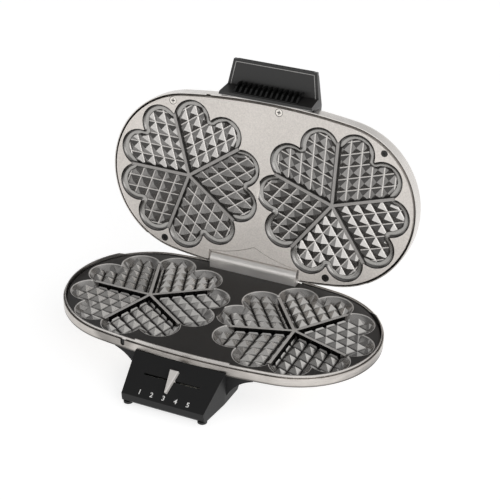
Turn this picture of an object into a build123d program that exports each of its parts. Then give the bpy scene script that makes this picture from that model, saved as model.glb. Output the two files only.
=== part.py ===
from build123d import *
from math import atan2, cos, degrees, hypot, radians, sin, sqrt, tan
import os

os.makedirs("parts", exist_ok=True)

# Main places, in millimetres.  Heights and depths of the base are given from the middle of the lower
# plate's flat face: x to the right, y to the hinge, z up.  The lid is drawn closed and swung open.
plate_height = 44.5          # flat face of the lower plate above the table
plate_y = 2.65               # rosette centre line, so that the whole open appliance is centred
half_spacing = 85.0          # rosette centre from the middle
lobe_ring = 0.771765 * half_spacing    # lobe centres from the rosette centre
lobe_radius = 0.256471 * half_spacing
rosette_margin = 3.1
end_radius = lobe_ring + lobe_radius + rosette_margin    # round ends of the waffle plates
side_bulge = 6.0
side_reach = end_radius + side_bulge   # half depth of the plates at their middle
hinge_y = side_reach - 3.0
hinge_z = 8.4
lid_open = 96.5              # degrees, leaning back on its stop
closed_gap = 0.5             # between the two flat faces when shut

# Rosette of five hearts
cusp_radius = 0.8
heart_angle = 72.0
lower_turn = (36.0, 54.0)    # first spoke of the left and the right rosette
pyramid_pitch = 13.1         # square to the spokes
tip_depth = 0.3
lower_floor = 4.2
upper_floor = 3.6
lower_first_valley = 6.6     # first valley from the spoke axis
upper_first_valley = 13.8
wall_run = 8.6               # the pocket wall leans in by this much
spoke_half = 2.2
upper_field_start = 3.6
lower_spoke_rise = 0.8
upper_spoke_rise = 2.0
lobe_sides = 10              # flats round a lobe, round a cusp and round the lobe end of a pyramid field
cusp_sides = 4
field_sides = 3
plate_thickness = 8.5
plate_edge_gap = 0.8         # lower plate is this much smaller than the upper one

# Rims and shells
ring_inner = 0.8
ring_wall = 1.0
ring_top = 4.3
tongue_top = 6.0
tongue_half = 53.0
ring_bottom = -7.8
ring_rear_y = hinge_y - 25.5
ring_rear_top = 0.6
band_outer = 3.5
sheet = 1.0
band_top = 1.0
band_bottom = -8.5
bowl_bottom = -27.0
bowl_inset = 52.0
notch_x = -67.5
notch_width = 4.8
notch_depth = 6.6
lid_rim_z = 1.4
lid_rim_rear_z = 2.6
lid_rim_rear_y = hinge_y - 13.5
lid_top_z = 28.0
lid_round = 13.0
inner_share = 0.7            # the shell's inner corner is bevelled by this share of its outer round
lid_notch_height = 5.0

# Hinge
barrel_half = 52.0
barrel_radius = 10.6
barrel_y = hinge_y + 1.2
barrel_wall = 1.5
barrel_foot = -8.0
pin_radius = 3.0
pin_fit = 0.05
cheek_inner = barrel_half + 1.0
cheek_wall = 1.6
cheek_outer = cheek_inner + cheek_wall
cheek_back_y = hinge_y + 3.8
cheek_front_y = hinge_y - 23.5
cheek_low_z = 2.7
cheek_foot = 11.0
cheek_screw_x = cheek_outer + 5.9
cheek_screws = ((-cheek_screw_x, cheek_front_y + cheek_foot / 2), (cheek_screw_x, cheek_front_y + cheek_foot / 2))
shell_notch_y = hinge_y - 11.2
shell_notch_half = cheek_outer + 0.6
rear_gap_half = cheek_outer + 1.4      # gap in the ring and band round the hinge
bracket_x = barrel_half - 17.0
bracket_width = 12.0
bracket_screws = ((-bracket_x, hinge_y - 3), (bracket_x, hinge_y - 3))
web_edge_y = barrel_y - barrel_radius - 0.5
web_wall = 1.2
web_half = barrel_half + 0.7
web_flange_y = web_edge_y - 1.6
seam_gap = 0.5
seam_bulge = 3.1
seam_cusp_y = web_edge_y - 16.1
seam_end_y = web_edge_y - 1.1

# Console
panel_top_y = -side_reach - 3.9
panel_top_z = -4.6
panel_foot_y = panel_top_y - 40.6
panel_foot_z = -30.6
panel_half_top = 50.6
panel_half_foot = 45.7
console_face_z = -39.0
console_base_z = -42.0
console_rear_y = panel_top_y + 42.4
console_wall = 2.4
console_boss_rise = 6.0
shell_fit = 0.1
bowl_corner = 0.6
flare_half = 78.0
flare_front_y = panel_top_y + 3.9
slot_down = 22.0             # slot from the panel's upper edge, measured along the slope
slot_half = 31.0
slot_width = 2.0
slide_travel = 27.0
knob_top_down = 12.0
knob_tip_down = 37.0
knob_half = 4.8
knob_rise = 4.6
stem_half = 3.6
stem_wall = 1.4
carriage_half = 7.0
carriage_wall = 3.5
ramp = 0.05                  # how much the follower gives way for each millimetre of slide
thermostat_drop = 13.5       # below the panel's face
thermostat_wall = 8.0
panel_wall = 2.6
console_half_rear = 52.0
saddle_half = 49.5
saddle_low_z = -37.0
saddle_high_z = -11.0
saddle_rear_y = console_rear_y - 6.0
rear_slant = 12.0             # the console's back leans in by this much at its foot, at 45 degrees
foot_x = 41.5
foot_y = panel_foot_y + 7.0
rear_foot_x = 38.0
rear_foot_y = side_reach - 18.5
fit_gap = 0.3

# Lid handle
handle_tip_y = -side_reach - 40.3
handle_tip_top = 24.2
handle_tip_low = 19.6
handle_half_tip = 48.0
handle_half_root = 54.0
pocket_top_y = -side_reach - 12.0
pocket_top_z = 18.6
ledge_y = -side_reach - 7.8
ledge_z = -2.9
handle_back_y = -side_reach - 4.1
handle_root_y = 6.5 - side_reach
handle_root_z = 27.6
rib_shift = -1.0
rib_count = 13
rib_pitch = 6.0
rib_wall = 2.2
rib_reach_y = pocket_top_y - 4.5

# Heating and inner parts
heater_end_x = 9.0
heater_end_y = 20.5 - side_reach
heater_bend = 20.0
heater_ring = end_radius - 38.5
link_y = heater_ring - 22.0
clip_wall = 0.8
clip_width = 6.0
clip_x = half_spacing - 28.0
lower_reflector_z = -17.0
upper_reflector_z = 16.5
lug_radius = 6.0
post_top = 19.6
heater_radius = 3.2
reflector_inset = 30.0
reflector_wall = 0.6
boss_radius = 4.5
screw_radius = 2.0
head_radius = 4.0
head_sides = 12
head_height = 2.4
recess_arm = 4.4
recess_width = 1.1
recess_depth = 1.2
upper_screws = ((-half_spacing - 24, 14 - side_reach), (16, 5 - side_reach),
                (half_spacing + 0.569 * end_radius, -0.768 * end_radius),
                (-half_spacing - 25.5, side_reach - 16), (half_spacing + 1, side_reach - 12))
plate_bosses = ((-half_spacing, 0), (half_spacing, 0), (0, 64.5 - side_reach), (0, 8))
foot_radius = 5.0
foot_height = 2.5
foot_sides = 16
rear_half = 45.0
rear_front_y = side_reach - 52.5
rear_back_y = side_reach - 8.5
gland_x = 30.0
gland_z = -33.0
gland_radius = 6.0
gland_neck = 4.6
gland_bore = 3.2
cover_wall = 2.0
cover_rear_y = console_rear_y - 22.0
cover_front_y = panel_top_y - 17.6
cover_screws = ((-45.5, cover_rear_y), (45.5, cover_rear_y), (-42, cover_front_y), (42, cover_front_y))
handle_screw_places = ((-30, 13.5), (30, 13.5))
handle_screw_y = -side_reach - 1.6
small_head = 1.8             # height of a small screw's head
small_head_radius = 3.0
small_shank = 1.5
block_height = 8.0
wire_x = 12.0
lead_rise = 7.8
lead_width = 4.8
lead_thickness = 2.0
follower_pin = 1.5
wire_hole = 4.0
front_wire_y = console_rear_y - 4.3
rear_wire_y = rear_front_y + 8.0

hinge = Location((0, plate_y + hinge_y, plate_height + hinge_z))
lid_swing = hinge * Location((0, 0, 0), (-lid_open, 0, 0))
bulge_radius = (half_spacing**2 + side_reach**2 - end_radius**2) / (2 * (side_reach - end_radius))
upper_turn = lower_turn
cusp_ring = lobe_ring * cos(radians(heart_angle / 4))
cusp_ring += sqrt((lobe_radius + cusp_radius) ** 2 - (lobe_ring * sin(radians(heart_angle / 4))) ** 2)
lobe_centre = Vector(lobe_ring, 0).rotate(Axis.Z, heart_angle / 4)
lobe_start = degrees(atan2(-lobe_centre.Y, cusp_ring - lobe_centre.X))
plate_notch = web_edge_y + side_reach
web_hole_half = cheek_outer + fit_gap
panel_slope = atan2(panel_top_z - panel_foot_z, panel_top_y - panel_foot_y)
lid_place = lid_swing * Location((0, -hinge_y, closed_gap - hinge_z))


# Work planes: level, side-on and front-on, for the base and for the lid
def base_level(z):
    return Plane(origin=(0, plate_y, plate_height + z))


def base_side(x):
    return Plane(origin=(x, plate_y, plate_height), x_dir=(0, 1, 0), z_dir=(1, 0, 0))


def base_front(y):
    return Plane(origin=(0, plate_y + y, plate_height), x_dir=(1, 0, 0), z_dir=(0, -1, 0))


def lid_level(z):
    return Plane(lid_swing * Location((0, -hinge_y, z + closed_gap - hinge_z)))


def lid_side(x):
    flat = Plane(origin=(x, -hinge_y, closed_gap - hinge_z), x_dir=(0, 1, 0), z_dir=(1, 0, 0))
    return Plane(lid_swing * flat.location)


def lid_front(y):
    flat = Plane(origin=(0, y - hinge_y, closed_gap - hinge_z), x_dir=(1, 0, 0), z_dir=(0, -1, 0))
    return Plane(lid_swing * flat.location)


# The sloping control panel: x across, y up the slope, and the same seen from the side
def panel_level(lift):
    normal = Vector(0, -sin(panel_slope), cos(panel_slope))
    edge = Vector(0, plate_y + panel_top_y, plate_height + panel_top_z)
    return Plane(origin=edge + normal * lift, x_dir=(1, 0, 0), z_dir=normal)


def panel_side(x):
    down = Vector(0, -cos(panel_slope), -sin(panel_slope))
    edge = Vector(x, plate_y + panel_top_y, plate_height + panel_top_z)
    return Plane(origin=edge, x_dir=down, z_dir=(-1, 0, 0))


def panel_front(down):
    slope = Vector(0, -cos(panel_slope), -sin(panel_slope))
    edge = Vector(0, plate_y + panel_top_y, plate_height + panel_top_z)
    return Plane(origin=edge + slope * down, x_dir=(1, 0, 0), z_dir=slope)


def panel_point(down, lift):
    return (panel_top_y - down * cos(panel_slope) - lift * sin(panel_slope),
            panel_top_z - down * sin(panel_slope) + lift * cos(panel_slope))


panel_axis = Axis((0, 0, 0), (0, -sin(panel_slope), cos(panel_slope)))


# Shapes drawn inside the current sketch
def rim_face(grow, mode=Mode.ADD):
    radius = end_radius + grow
    reach = side_reach + grow
    centre_y = bulge_radius - side_reach
    length = hypot(half_spacing, centre_y)
    join_x = half_spacing + radius * half_spacing / length
    join_y = radius * centre_y / length
    with BuildLine() as outline:
        ThreePointArc((-join_x, -join_y), (0, -reach), (join_x, -join_y))
        ThreePointArc((join_x, -join_y), (half_spacing + radius, 0), (join_x, join_y))
        ThreePointArc((join_x, join_y), (0, reach), (-join_x, join_y))
        ThreePointArc((-join_x, join_y), (-half_spacing - radius, 0), (-join_x, -join_y))
    make_face(outline.edges(), mode=mode)


def arc_points(centre, radius, start, finish, sides):
    turn = (finish - start) / sides
    return [centre + Vector(radius, 0).rotate(Axis.Z, start + turn * step) for step in range(sides)]


# Five hearts make ten round lobes with a small round cusp between neighbours
def rosette_face(centre_x, turn, inset):
    cusp = arc_points(Vector(cusp_ring, 0), cusp_radius + inset, 180 - lobe_start, 180 + lobe_start, cusp_sides)
    lobe = arc_points(lobe_centre, lobe_radius - inset, lobe_start, heart_angle / 2 - lobe_start, lobe_sides)
    points = []
    for step in range(10):
        around = turn + heart_angle / 2 * step
        points += [point.rotate(Axis.Z, around) + Vector(centre_x, 0) for point in cusp + lobe]
    with BuildLine() as outline:
        Polyline(*points, close=True)
    make_face(outline.edges())


# The hinge web's place: two arcs that meet in a cusp on the centre line, open to the back
def seam_face(lift):
    half = web_hole_half
    rise = seam_end_y - seam_cusp_y
    chord = hypot(half, rise)
    middle = (half / 2 - seam_bulge * rise / chord, seam_cusp_y + rise / 2 + seam_bulge * half / chord + lift)
    cusp = (0, seam_cusp_y + lift)
    with BuildLine() as outline:
        ThreePointArc((half, seam_end_y + lift), middle, cusp)
        ThreePointArc(cusp, (-middle[0], middle[1]), (-half, seam_end_y + lift))
        Polyline((-half, seam_end_y + lift), (-half, plate_notch), (half, plate_notch), (half, seam_end_y + lift))
    make_face(outline.edges())


# Pieces of the solid that is being built
def prism(plane, points, amount, mode=Mode.ADD, both=False):
    with BuildSketch(plane) as face:
        with BuildLine() as outline:
            Polyline(*points, close=True)
        make_face(outline.edges())
    extrude(face.sketch, amount=amount, both=both, mode=mode)


def slab(plane, low, high, amount, mode=Mode.ADD):
    prism(plane, (low, (high[0], low[1]), high, (low[0], high[1])), amount, mode)


def rods(plane, places, radius, amount, mode=Mode.ADD):
    with BuildSketch(plane) as face:
        with Locations(*places):
            Circle(radius)
    extrude(face.sketch, amount=amount, mode=mode)


def rim_slab(plane, grow, amount, mode=Mode.ADD):
    with BuildSketch(plane) as face:
        rim_face(grow)
    extrude(face.sketch, amount=amount, mode=mode)


# Small pillars, screws and the holes that they pass, with flat sides
def studs(plane, places, radius, amount, mode=Mode.ADD, sides=6):
    with BuildSketch(plane) as face:
        with Locations(*places):
            RegularPolygon(radius, sides)
    extrude(face.sketch, amount=amount, mode=mode)


# The outside of the bowl and its band, grown all round
def bowl_solid(grow, top):
    with BuildPart() as bowl:
        rim_slab(base_level(band_bottom - grow), band_outer + grow, top - band_bottom + grow)
        with BuildSketch(base_level(band_bottom - grow)) as mouth:
            rim_face(band_outer + grow)
        with BuildSketch(base_level(bowl_bottom - grow)) as floor:
            rim_face(grow - bowl_inset)
        loft([mouth.sketch, floor.sketch], ruled=True)
    return bowl.part


# The lid's dome, grown all round
def dome_solid(grow, bottom):
    with BuildPart() as dome:
        rim_slab(Plane.XY.offset(bottom), band_outer + grow, lid_top_z + grow - bottom)
        top_edges = dome.faces().sort_by(Axis.Z)[-1].edges()
        if grow < 0:
            chamfer(top_edges, lid_round * inner_share)
        else:
            fillet(top_edges, lid_round + grow)
    return lid_place * dome.part


# Straight-sided outline of one heart's pyramids, just inside the foot of the pocket wall
def heart_outline(field_start):
    bend = cusp_radius + wall_run
    corner = Vector(cusp_ring - bend, bend * tan(radians(-lobe_start / 2)))
    side = [Vector(corner.X, field_start)]
    if field_start < corner.Y:
        side.append(corner)
    lobe_end = heart_angle / 2 - lobe_start
    side += arc_points(lobe_centre, lobe_radius - wall_run, lobe_start, lobe_end, field_sides)
    side.append(lobe_centre + Vector(lobe_radius - wall_run, 0).rotate(Axis.Z, lobe_end))
    side.append(Vector(corner.X, -corner.Y).rotate(Axis.Z, heart_angle / 2))
    other = [Vector(point.X, -point.Y).rotate(Axis.Z, heart_angle) for point in reversed(side)]
    apex = Vector(field_start / sin(radians(heart_angle / 2)), 0).rotate(Axis.Z, heart_angle / 2)
    return [apex] + side + other


# One heart's field of pyramids, between spokes at 0 and heart_angle, tips up
def heart_field(floor, first_valley, field_start):
    reach = lobe_ring + lobe_radius
    teeth = [(first_valley - pyramid_pitch, 3)]
    for tooth in range(-1, int(reach / pyramid_pitch) + 2):
        place = first_valley + pyramid_pitch * tooth
        teeth += [(place, -floor), (place + pyramid_pitch / 2, -tip_depth)]
    teeth.append((teeth[-1][0], 3))
    along = Vector(1, 0).rotate(Axis.Z, heart_angle - 90)
    start = Vector(reach + 20, 0).rotate(Axis.Z, heart_angle)
    first_side = Plane(origin=(-20, 0, 0), x_dir=(0, 1, 0), z_dir=(1, 0, 0))
    second_side = Plane(origin=start, x_dir=along, z_dir=along.rotate(Axis.Z, -90))
    with BuildPart() as field:
        prism(Plane.XY.offset(-floor - 1), heart_outline(field_start), floor + 1.2 - tip_depth)
        for side in (first_side, second_side):
            prism(side, teeth, reach + 40, Mode.SUBTRACT)
    return field.part


def field_set(field, plane, turns, flip):
    placed = []
    for centre_x, turn in zip((-half_spacing, half_spacing), turns):
        for step in range(5):
            angle = turn + heart_angle * step
            shape = field.mirror(Plane.XY) if flip else field
            placed.append(plane.location * Pos(centre_x, 0, 0) * Rot(0, 0, angle) * shape)
    return placed


# A pocket cut down from a plate's face, with its spokes
def cut_pocket(level, way, centre_x, turn, floor, spoke_rise):
    with BuildSketch(level(way * 0.01)) as mouth:
        rosette_face(centre_x, turn, 0)
    with BuildSketch(level(-way * floor)) as foot:
        rosette_face(centre_x, turn, wall_run)
    loft([mouth.sketch, foot.sketch], ruled=True, mode=Mode.SUBTRACT)
    with BuildSketch(level(-way * (floor + 1))) as spokes:
        with Locations((centre_x, 0)):
            with PolarLocations(lobe_ring / 2 + 1, 5, turn):
                Rectangle(lobe_ring + 4, 2 * spoke_half)
    extrude(spokes.sketch, amount=way * (1 + spoke_rise))


lower_field = heart_field(lower_floor, lower_first_valley, lower_first_valley)
upper_field = heart_field(upper_floor, upper_first_valley, upper_field_start)
lower_hearts = field_set(lower_field, base_level(0), lower_turn, False)
upper_hearts = field_set(upper_field, lid_level(0), upper_turn, True)


# Lower waffle plate: cast aluminium, with four long bosses that stand on the bowl
with BuildPart() as lower_waffle_plate:
    with BuildSketch(base_level(-plate_thickness)):
        rim_face(-plate_edge_gap)
        with Locations((0, plate_notch)):
            Rectangle(2 * barrel_half + 2 * fit_gap, 2 * side_reach, mode=Mode.SUBTRACT)
    extrude(amount=plate_thickness)
    for centre_x, turn in zip((-half_spacing, half_spacing), lower_turn):
        cut_pocket(base_level, 1, centre_x, turn, lower_floor, lower_spoke_rise)
    add(lower_hearts)
    studs(base_level(lower_reflector_z), plate_bosses, lug_radius, -lower_reflector_z - plate_thickness)
    studs(base_level(bowl_bottom + sheet), plate_bosses, boss_radius, lower_reflector_z - bowl_bottom - sheet)
    studs(base_level(bowl_bottom), plate_bosses, screw_radius + pin_fit, 11, Mode.SUBTRACT)
lower_waffle_plate.part.label = "lower_waffle_plate"
export_step(lower_waffle_plate.part, "parts/lower_waffle_plate.step")

# Upper waffle plate, with the hinge web's place cut out at the back
with BuildPart() as upper_waffle_plate:
    rim_slab(lid_level(0), 0, plate_thickness)
    with BuildSketch(lid_level(-1)) as web_place:
        seam_face(0)
    extrude(web_place.sketch, amount=plate_thickness + 2, mode=Mode.SUBTRACT)
    slab(lid_level(web_wall - fit_gap), (-web_hole_half, web_flange_y - web_wall - fit_gap),
         (web_hole_half, plate_notch), plate_thickness, Mode.SUBTRACT)
    for centre_x, turn in zip((-half_spacing, half_spacing), upper_turn):
        cut_pocket(lid_level, -1, centre_x, turn, upper_floor, upper_spoke_rise)
    add(upper_hearts)
    studs(lid_level(plate_thickness), plate_bosses, boss_radius, upper_reflector_z - plate_thickness)
    studs(lid_level(upper_reflector_z - 5), plate_bosses, screw_radius + pin_fit, 6, Mode.SUBTRACT)
    studs(lid_level(-1), upper_screws, head_radius + fit_gap, 1 + fit_gap + head_height, Mode.SUBTRACT, head_sides)
    studs(lid_level(0), upper_screws, screw_radius + pin_fit, plate_thickness + 1, Mode.SUBTRACT)
    studs(lid_level(plate_thickness - 3.3), cheek_screws, small_shank + pin_fit, 4, Mode.SUBTRACT)
upper_waffle_plate.part.label = "upper_waffle_plate"
export_step(upper_waffle_plate.part, "parts/upper_waffle_plate.step")

# Steel rim round the lower plate, with a foot inside the band and a raised front
with BuildPart() as base_rim_ring:
    rim_slab(base_level(ring_bottom), ring_inner + ring_wall, ring_top - ring_bottom)
    rim_slab(base_level(ring_bottom), band_outer - sheet - shell_fit, sheet)
    with BuildSketch(base_level(ring_top)) as tongue:
        rim_face(ring_inner + ring_wall)
        with Locations((0, -side_reach)):
            Rectangle(2 * tongue_half, side_reach, mode=Mode.INTERSECT)
    extrude(tongue.sketch, amount=tongue_top - ring_top)
    rim_slab(base_level(ring_bottom), ring_inner, tongue_top - ring_bottom, Mode.SUBTRACT)
    ramp_line = [(ring_rear_y - 8, ring_top), (ring_rear_y, ring_rear_top), (plate_notch, ring_rear_top),
                 (plate_notch, ring_top)]
    prism(base_side(0), ramp_line, 2 * half_spacing, Mode.SUBTRACT, both=True)
    slab(base_level(ring_bottom), (-rear_gap_half, lid_rim_rear_y), (rear_gap_half, plate_notch),
         ring_top - ring_bottom, Mode.SUBTRACT)
base_rim_ring.part.label = "base_rim_ring"
export_step(base_rim_ring.part, "parts/base_rim_ring.step")

# Base shell: a bright band and the shallow bowl under it
with BuildPart() as base_shell:
    add(bowl_solid(0, band_top))
    rim_slab(base_level(band_bottom + bowl_corner), band_outer - sheet, -band_bottom + 2, Mode.SUBTRACT)
    with BuildSketch(base_level(band_bottom + bowl_corner)) as mouth:
        rim_face(band_outer - sheet)
    with BuildSketch(base_level(bowl_bottom + sheet)) as floor:
        rim_face(-bowl_inset)
    loft([mouth.sketch, floor.sketch], ruled=True, mode=Mode.SUBTRACT)
    studs(base_level(bowl_bottom - 1), plate_bosses, screw_radius + pin_fit, sheet + 2, Mode.SUBTRACT)
    wire_holes = ((wire_x, front_wire_y), (wire_x, rear_wire_y))
    studs(base_level(bowl_bottom), wire_holes, wire_hole, band_bottom - bowl_bottom, Mode.SUBTRACT)
    with BuildSketch(base_front(-half_spacing + 20)) as notch:
        with Locations((notch_x, band_top - notch_depth + notch_width / 2)):
            Circle(notch_width / 2)
        with Locations((notch_x, band_top - (notch_depth - notch_width / 2) / 2 + 1)):
            Rectangle(notch_width, notch_depth - notch_width / 2 + 2)
    extrude(notch.sketch, amount=half_spacing, mode=Mode.SUBTRACT)
    slab(base_level(barrel_foot), (-rear_gap_half, lid_rim_rear_y), (rear_gap_half, plate_notch),
         band_top - barrel_foot, Mode.SUBTRACT)
base_shell.part.label = "base_shell"
export_step(base_shell.part, "parts/base_shell.step")

# Hinge barrel: half-round steel cover across the back, closed below and at its ends
def barrel_face(inset):
    radius = barrel_radius - inset
    front = (barrel_y - radius, hinge_z)
    back = (barrel_y + radius, hinge_z)
    with BuildLine() as outline:
        ThreePointArc(front, (barrel_y, hinge_z + radius), back)
        Polyline(back, (back[0], barrel_foot + inset), (front[0], barrel_foot + inset), front)
    make_face(outline.edges())


with BuildPart() as hinge_barrel:
    with BuildSketch(base_side(-barrel_half)) as outside:
        barrel_face(0)
    extrude(outside.sketch, amount=2 * barrel_half)
    with BuildSketch(base_side(barrel_wall - barrel_half)) as inside:
        barrel_face(barrel_wall)
    extrude(inside.sketch, amount=2 * (barrel_half - barrel_wall), mode=Mode.SUBTRACT)
    rods(base_side(-barrel_half), ((hinge_y, hinge_z),), pin_radius + pin_fit, 2 * barrel_half, Mode.SUBTRACT)
    studs(base_level(barrel_foot), bracket_screws, small_shank + pin_fit, barrel_wall, Mode.SUBTRACT)
hinge_barrel.part.label = "hinge_barrel"
export_step(hinge_barrel.part, "parts/hinge_barrel.step")

with BuildPart() as hinge_pin:
    rods(base_side(-cheek_outer), ((hinge_y, hinge_z),), pin_radius, 2 * cheek_outer)
hinge_pin.part.label = "hinge_pin"
export_step(hinge_pin.part, "parts/hinge_pin.step")

# Two wedges carry the barrel on the slope of the bowl
with BuildPart() as hinge_brackets:
    for side in (-bracket_x, bracket_x):
        front = barrel_y - 8.7
        back = barrel_y + 1.3
        wedge = [(front, barrel_foot), (back, barrel_foot), (back, barrel_foot - 0.2), (front, barrel_foot - 3.4)]
        prism(base_side(side - bracket_width / 2), wedge, bracket_width)
    studs(base_level(barrel_foot - 4), bracket_screws, small_shank + pin_fit, 4, Mode.SUBTRACT)
hinge_brackets.part.label = "hinge_brackets"
export_step(hinge_brackets.part, "parts/hinge_brackets.step")

with BuildPart() as hinge_screws:
    studs(base_level(barrel_foot + barrel_wall), bracket_screws, small_head_radius, small_head)
    studs(base_level(barrel_foot + barrel_wall), bracket_screws, small_shank, -barrel_wall - 1.8)
hinge_screws.part.label = "hinge_screws"
export_step(hinge_screws.part, "parts/hinge_screws.step")

# Console: sloping control panel and skirt, with flared sides that meet the bowl
bowl_room = bowl_solid(fit_gap, tongue_top)
with BuildPart() as saddle:
    with BuildSketch(base_front(saddle_rear_y)) as wings:
        with BuildLine() as outline:
            bend = (saddle_half + flare_half) / 2 - 3.4, (saddle_low_z + saddle_high_z) / 2 + 3.7
            ThreePointArc((saddle_half, saddle_low_z), bend, (flare_half, saddle_high_z))
            ThreePointArc((-flare_half, saddle_high_z), (-bend[0], bend[1]), (-saddle_half, saddle_low_z))
            Polyline((flare_half, saddle_high_z), (flare_half, band_bottom), (-flare_half, band_bottom),
                     (-flare_half, saddle_high_z))
            Line((-saddle_half, saddle_low_z), (saddle_half, saddle_low_z))
        make_face(outline.edges())
    extrude(wings.sketch, amount=saddle_rear_y - flare_front_y)
    rim_slab(base_level(saddle_low_z), band_outer - console_wall, band_bottom - saddle_low_z, Mode.INTERSECT)

console_plan = [(-panel_half_foot, panel_foot_y), (panel_half_foot, panel_foot_y), (panel_half_top, panel_top_y),
                (console_half_rear, console_rear_y), (-console_half_rear, console_rear_y),
                (-panel_half_top, panel_top_y)]
rear_lip_y = console_rear_y - rear_slant - console_wall * sqrt(2)
inner_drop = panel_wall * cos(panel_slope)
inner_y = panel_top_y + panel_wall * sin(panel_slope)
inner_foot_y = panel_foot_y + console_wall + 0.3
inner_foot_z = panel_top_z - inner_drop - (inner_y - inner_foot_y) * tan(panel_slope)
with BuildPart() as console_room:
    hollow = [(console_rear_y - console_wall, band_top), (inner_y, band_top), (inner_y, panel_top_z - inner_drop),
              (inner_foot_y, inner_foot_z), (inner_foot_y + 1.2, console_base_z), (rear_lip_y, console_base_z),
              (console_rear_y - console_wall, console_base_z + console_rear_y - console_wall - rear_lip_y)]
    prism(base_side(0), hollow, console_half_rear, both=True)
    with BuildSketch(base_level(console_base_z)) as plan:
        with BuildLine() as inner:
            Polyline(*console_plan, close=True)
        make_face(inner.edges())
        offset(amount=-console_wall, kind=Kind.INTERSECTION)
    extrude(plan.sketch, amount=band_top - console_base_z, mode=Mode.INTERSECT)

with BuildPart() as console_housing:
    outline = [(console_rear_y, panel_top_z), (panel_top_y, panel_top_z), (panel_foot_y, panel_foot_z),
               (panel_foot_y + 1.4, console_face_z), (panel_foot_y + 4, console_base_z),
               (console_rear_y - rear_slant, console_base_z), (console_rear_y, console_base_z + rear_slant)]
    prism(base_side(0), outline, console_half_rear, both=True)
    prism(base_level(console_base_z), console_plan, panel_top_z - console_base_z, Mode.INTERSECT)
    add(saddle.part)
    add(bowl_room, mode=Mode.SUBTRACT)
    add(console_room.part, mode=Mode.SUBTRACT)
    slab(panel_level(-panel_wall - 1), (-slot_half, -slot_down - slot_width / 2),
         (slot_half, -slot_down + slot_width / 2), panel_wall + 2, Mode.SUBTRACT)
    for place_x, place_y in cover_screws:
        slab(base_level(console_base_z + cover_wall), (place_x - boss_radius, place_y - boss_radius),
             (place_x + boss_radius, place_y + boss_radius), console_boss_rise)
    studs(base_level(console_base_z), cover_screws, small_shank + pin_fit, cover_wall + 5.3, Mode.SUBTRACT)
console_housing.part.label = "console_housing"
export_step(console_housing.part, "parts/console_housing.step")

with BuildPart() as console_cover:
    with BuildSketch(base_level(console_base_z)) as plan:
        with BuildLine() as rim:
            Polyline(*console_plan, close=True)
        make_face(rim.edges())
        offset(amount=-console_wall - fit_gap, kind=Kind.INTERSECTION)
        with Locations((0, inner_foot_y + 1.2 + fit_gap - side_reach)):
            Rectangle(2 * console_half_rear, 2 * side_reach, mode=Mode.SUBTRACT)
        with Locations((0, rear_lip_y - fit_gap + side_reach)):
            Rectangle(2 * console_half_rear, 2 * side_reach, mode=Mode.SUBTRACT)
    extrude(plan.sketch, amount=cover_wall)
    studs(base_level(console_base_z), cover_screws, small_shank + pin_fit, cover_wall, Mode.SUBTRACT)
console_cover.part.label = "console_cover"
export_step(console_cover.part, "parts/console_cover.step")

with BuildPart() as cover_screw_set:
    studs(base_level(console_base_z), cover_screws, small_head_radius, -small_head)
    studs(base_level(console_base_z), cover_screws, small_shank, cover_wall + 5)
cover_screw_set.part.label = "cover_screws"
export_step(cover_screw_set.part, "parts/cover_screws.step")

# Feet: soft pads under the console and under the rear support
with BuildPart() as front_feet:
    front_places = ((-foot_x, foot_y), (foot_x, foot_y))
    studs(base_level(console_base_z), front_places, foot_radius, -foot_height, sides=foot_sides)
front_feet.part.label = "front_feet"
export_step(front_feet.part, "parts/front_feet.step")

with BuildPart() as rear_feet:
    rear_places = ((-rear_foot_x, rear_foot_y), (rear_foot_x, rear_foot_y))
    studs(base_level(console_base_z), rear_places, foot_radius, -foot_height, sides=foot_sides)
rear_feet.part.label = "rear_feet"
export_step(rear_feet.part, "parts/rear_feet.step")

# Rear support: an open-topped tray under the bowl that holds the mains connection
with BuildPart() as rear_support:
    slab(base_level(console_base_z), (-rear_half, rear_front_y), (rear_half, rear_back_y),
         band_bottom - console_base_z)
    slab(base_level(console_base_z + console_wall), (-rear_half + console_wall, rear_front_y + console_wall),
         (rear_half - console_wall, rear_back_y - console_wall), band_bottom - console_base_z, Mode.SUBTRACT)
    add(bowl_room, mode=Mode.SUBTRACT)
    studs(base_front(rear_back_y), ((gland_x, gland_z),), gland_neck + pin_fit, console_wall, Mode.SUBTRACT, foot_sides)
rear_support.part.label = "rear_support"
export_step(rear_support.part, "parts/rear_support.step")

with BuildPart() as cord_gland:
    studs(base_front(rear_back_y), ((gland_x, gland_z),), gland_radius, -3, sides=foot_sides)
    studs(base_front(rear_back_y), ((gland_x, gland_z),), gland_neck, console_wall + 3, sides=foot_sides)
    rods(base_front(rear_back_y + 3), ((gland_x, gland_z),), gland_bore, console_wall + 6, Mode.SUBTRACT)
cord_gland.part.label = "cord_gland"
export_step(cord_gland.part, "parts/cord_gland.step")

with BuildPart() as terminal_block:
    block_floor = console_base_z + console_wall
    slab(base_level(block_floor), (wire_x - 13, rear_wire_y - 5), (wire_x + 13, rear_wire_y + 5), block_height)
    for place_x in (wire_x - 8, wire_x, wire_x + 8):
        slab(base_level(block_floor + 4), (place_x - 2, rear_wire_y + 1), (place_x + 2, rear_wire_y + 5),
             block_height - 4, Mode.SUBTRACT)
terminal_block.part.label = "terminal_block"
export_step(terminal_block.part, "parts/terminal_block.step")

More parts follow.
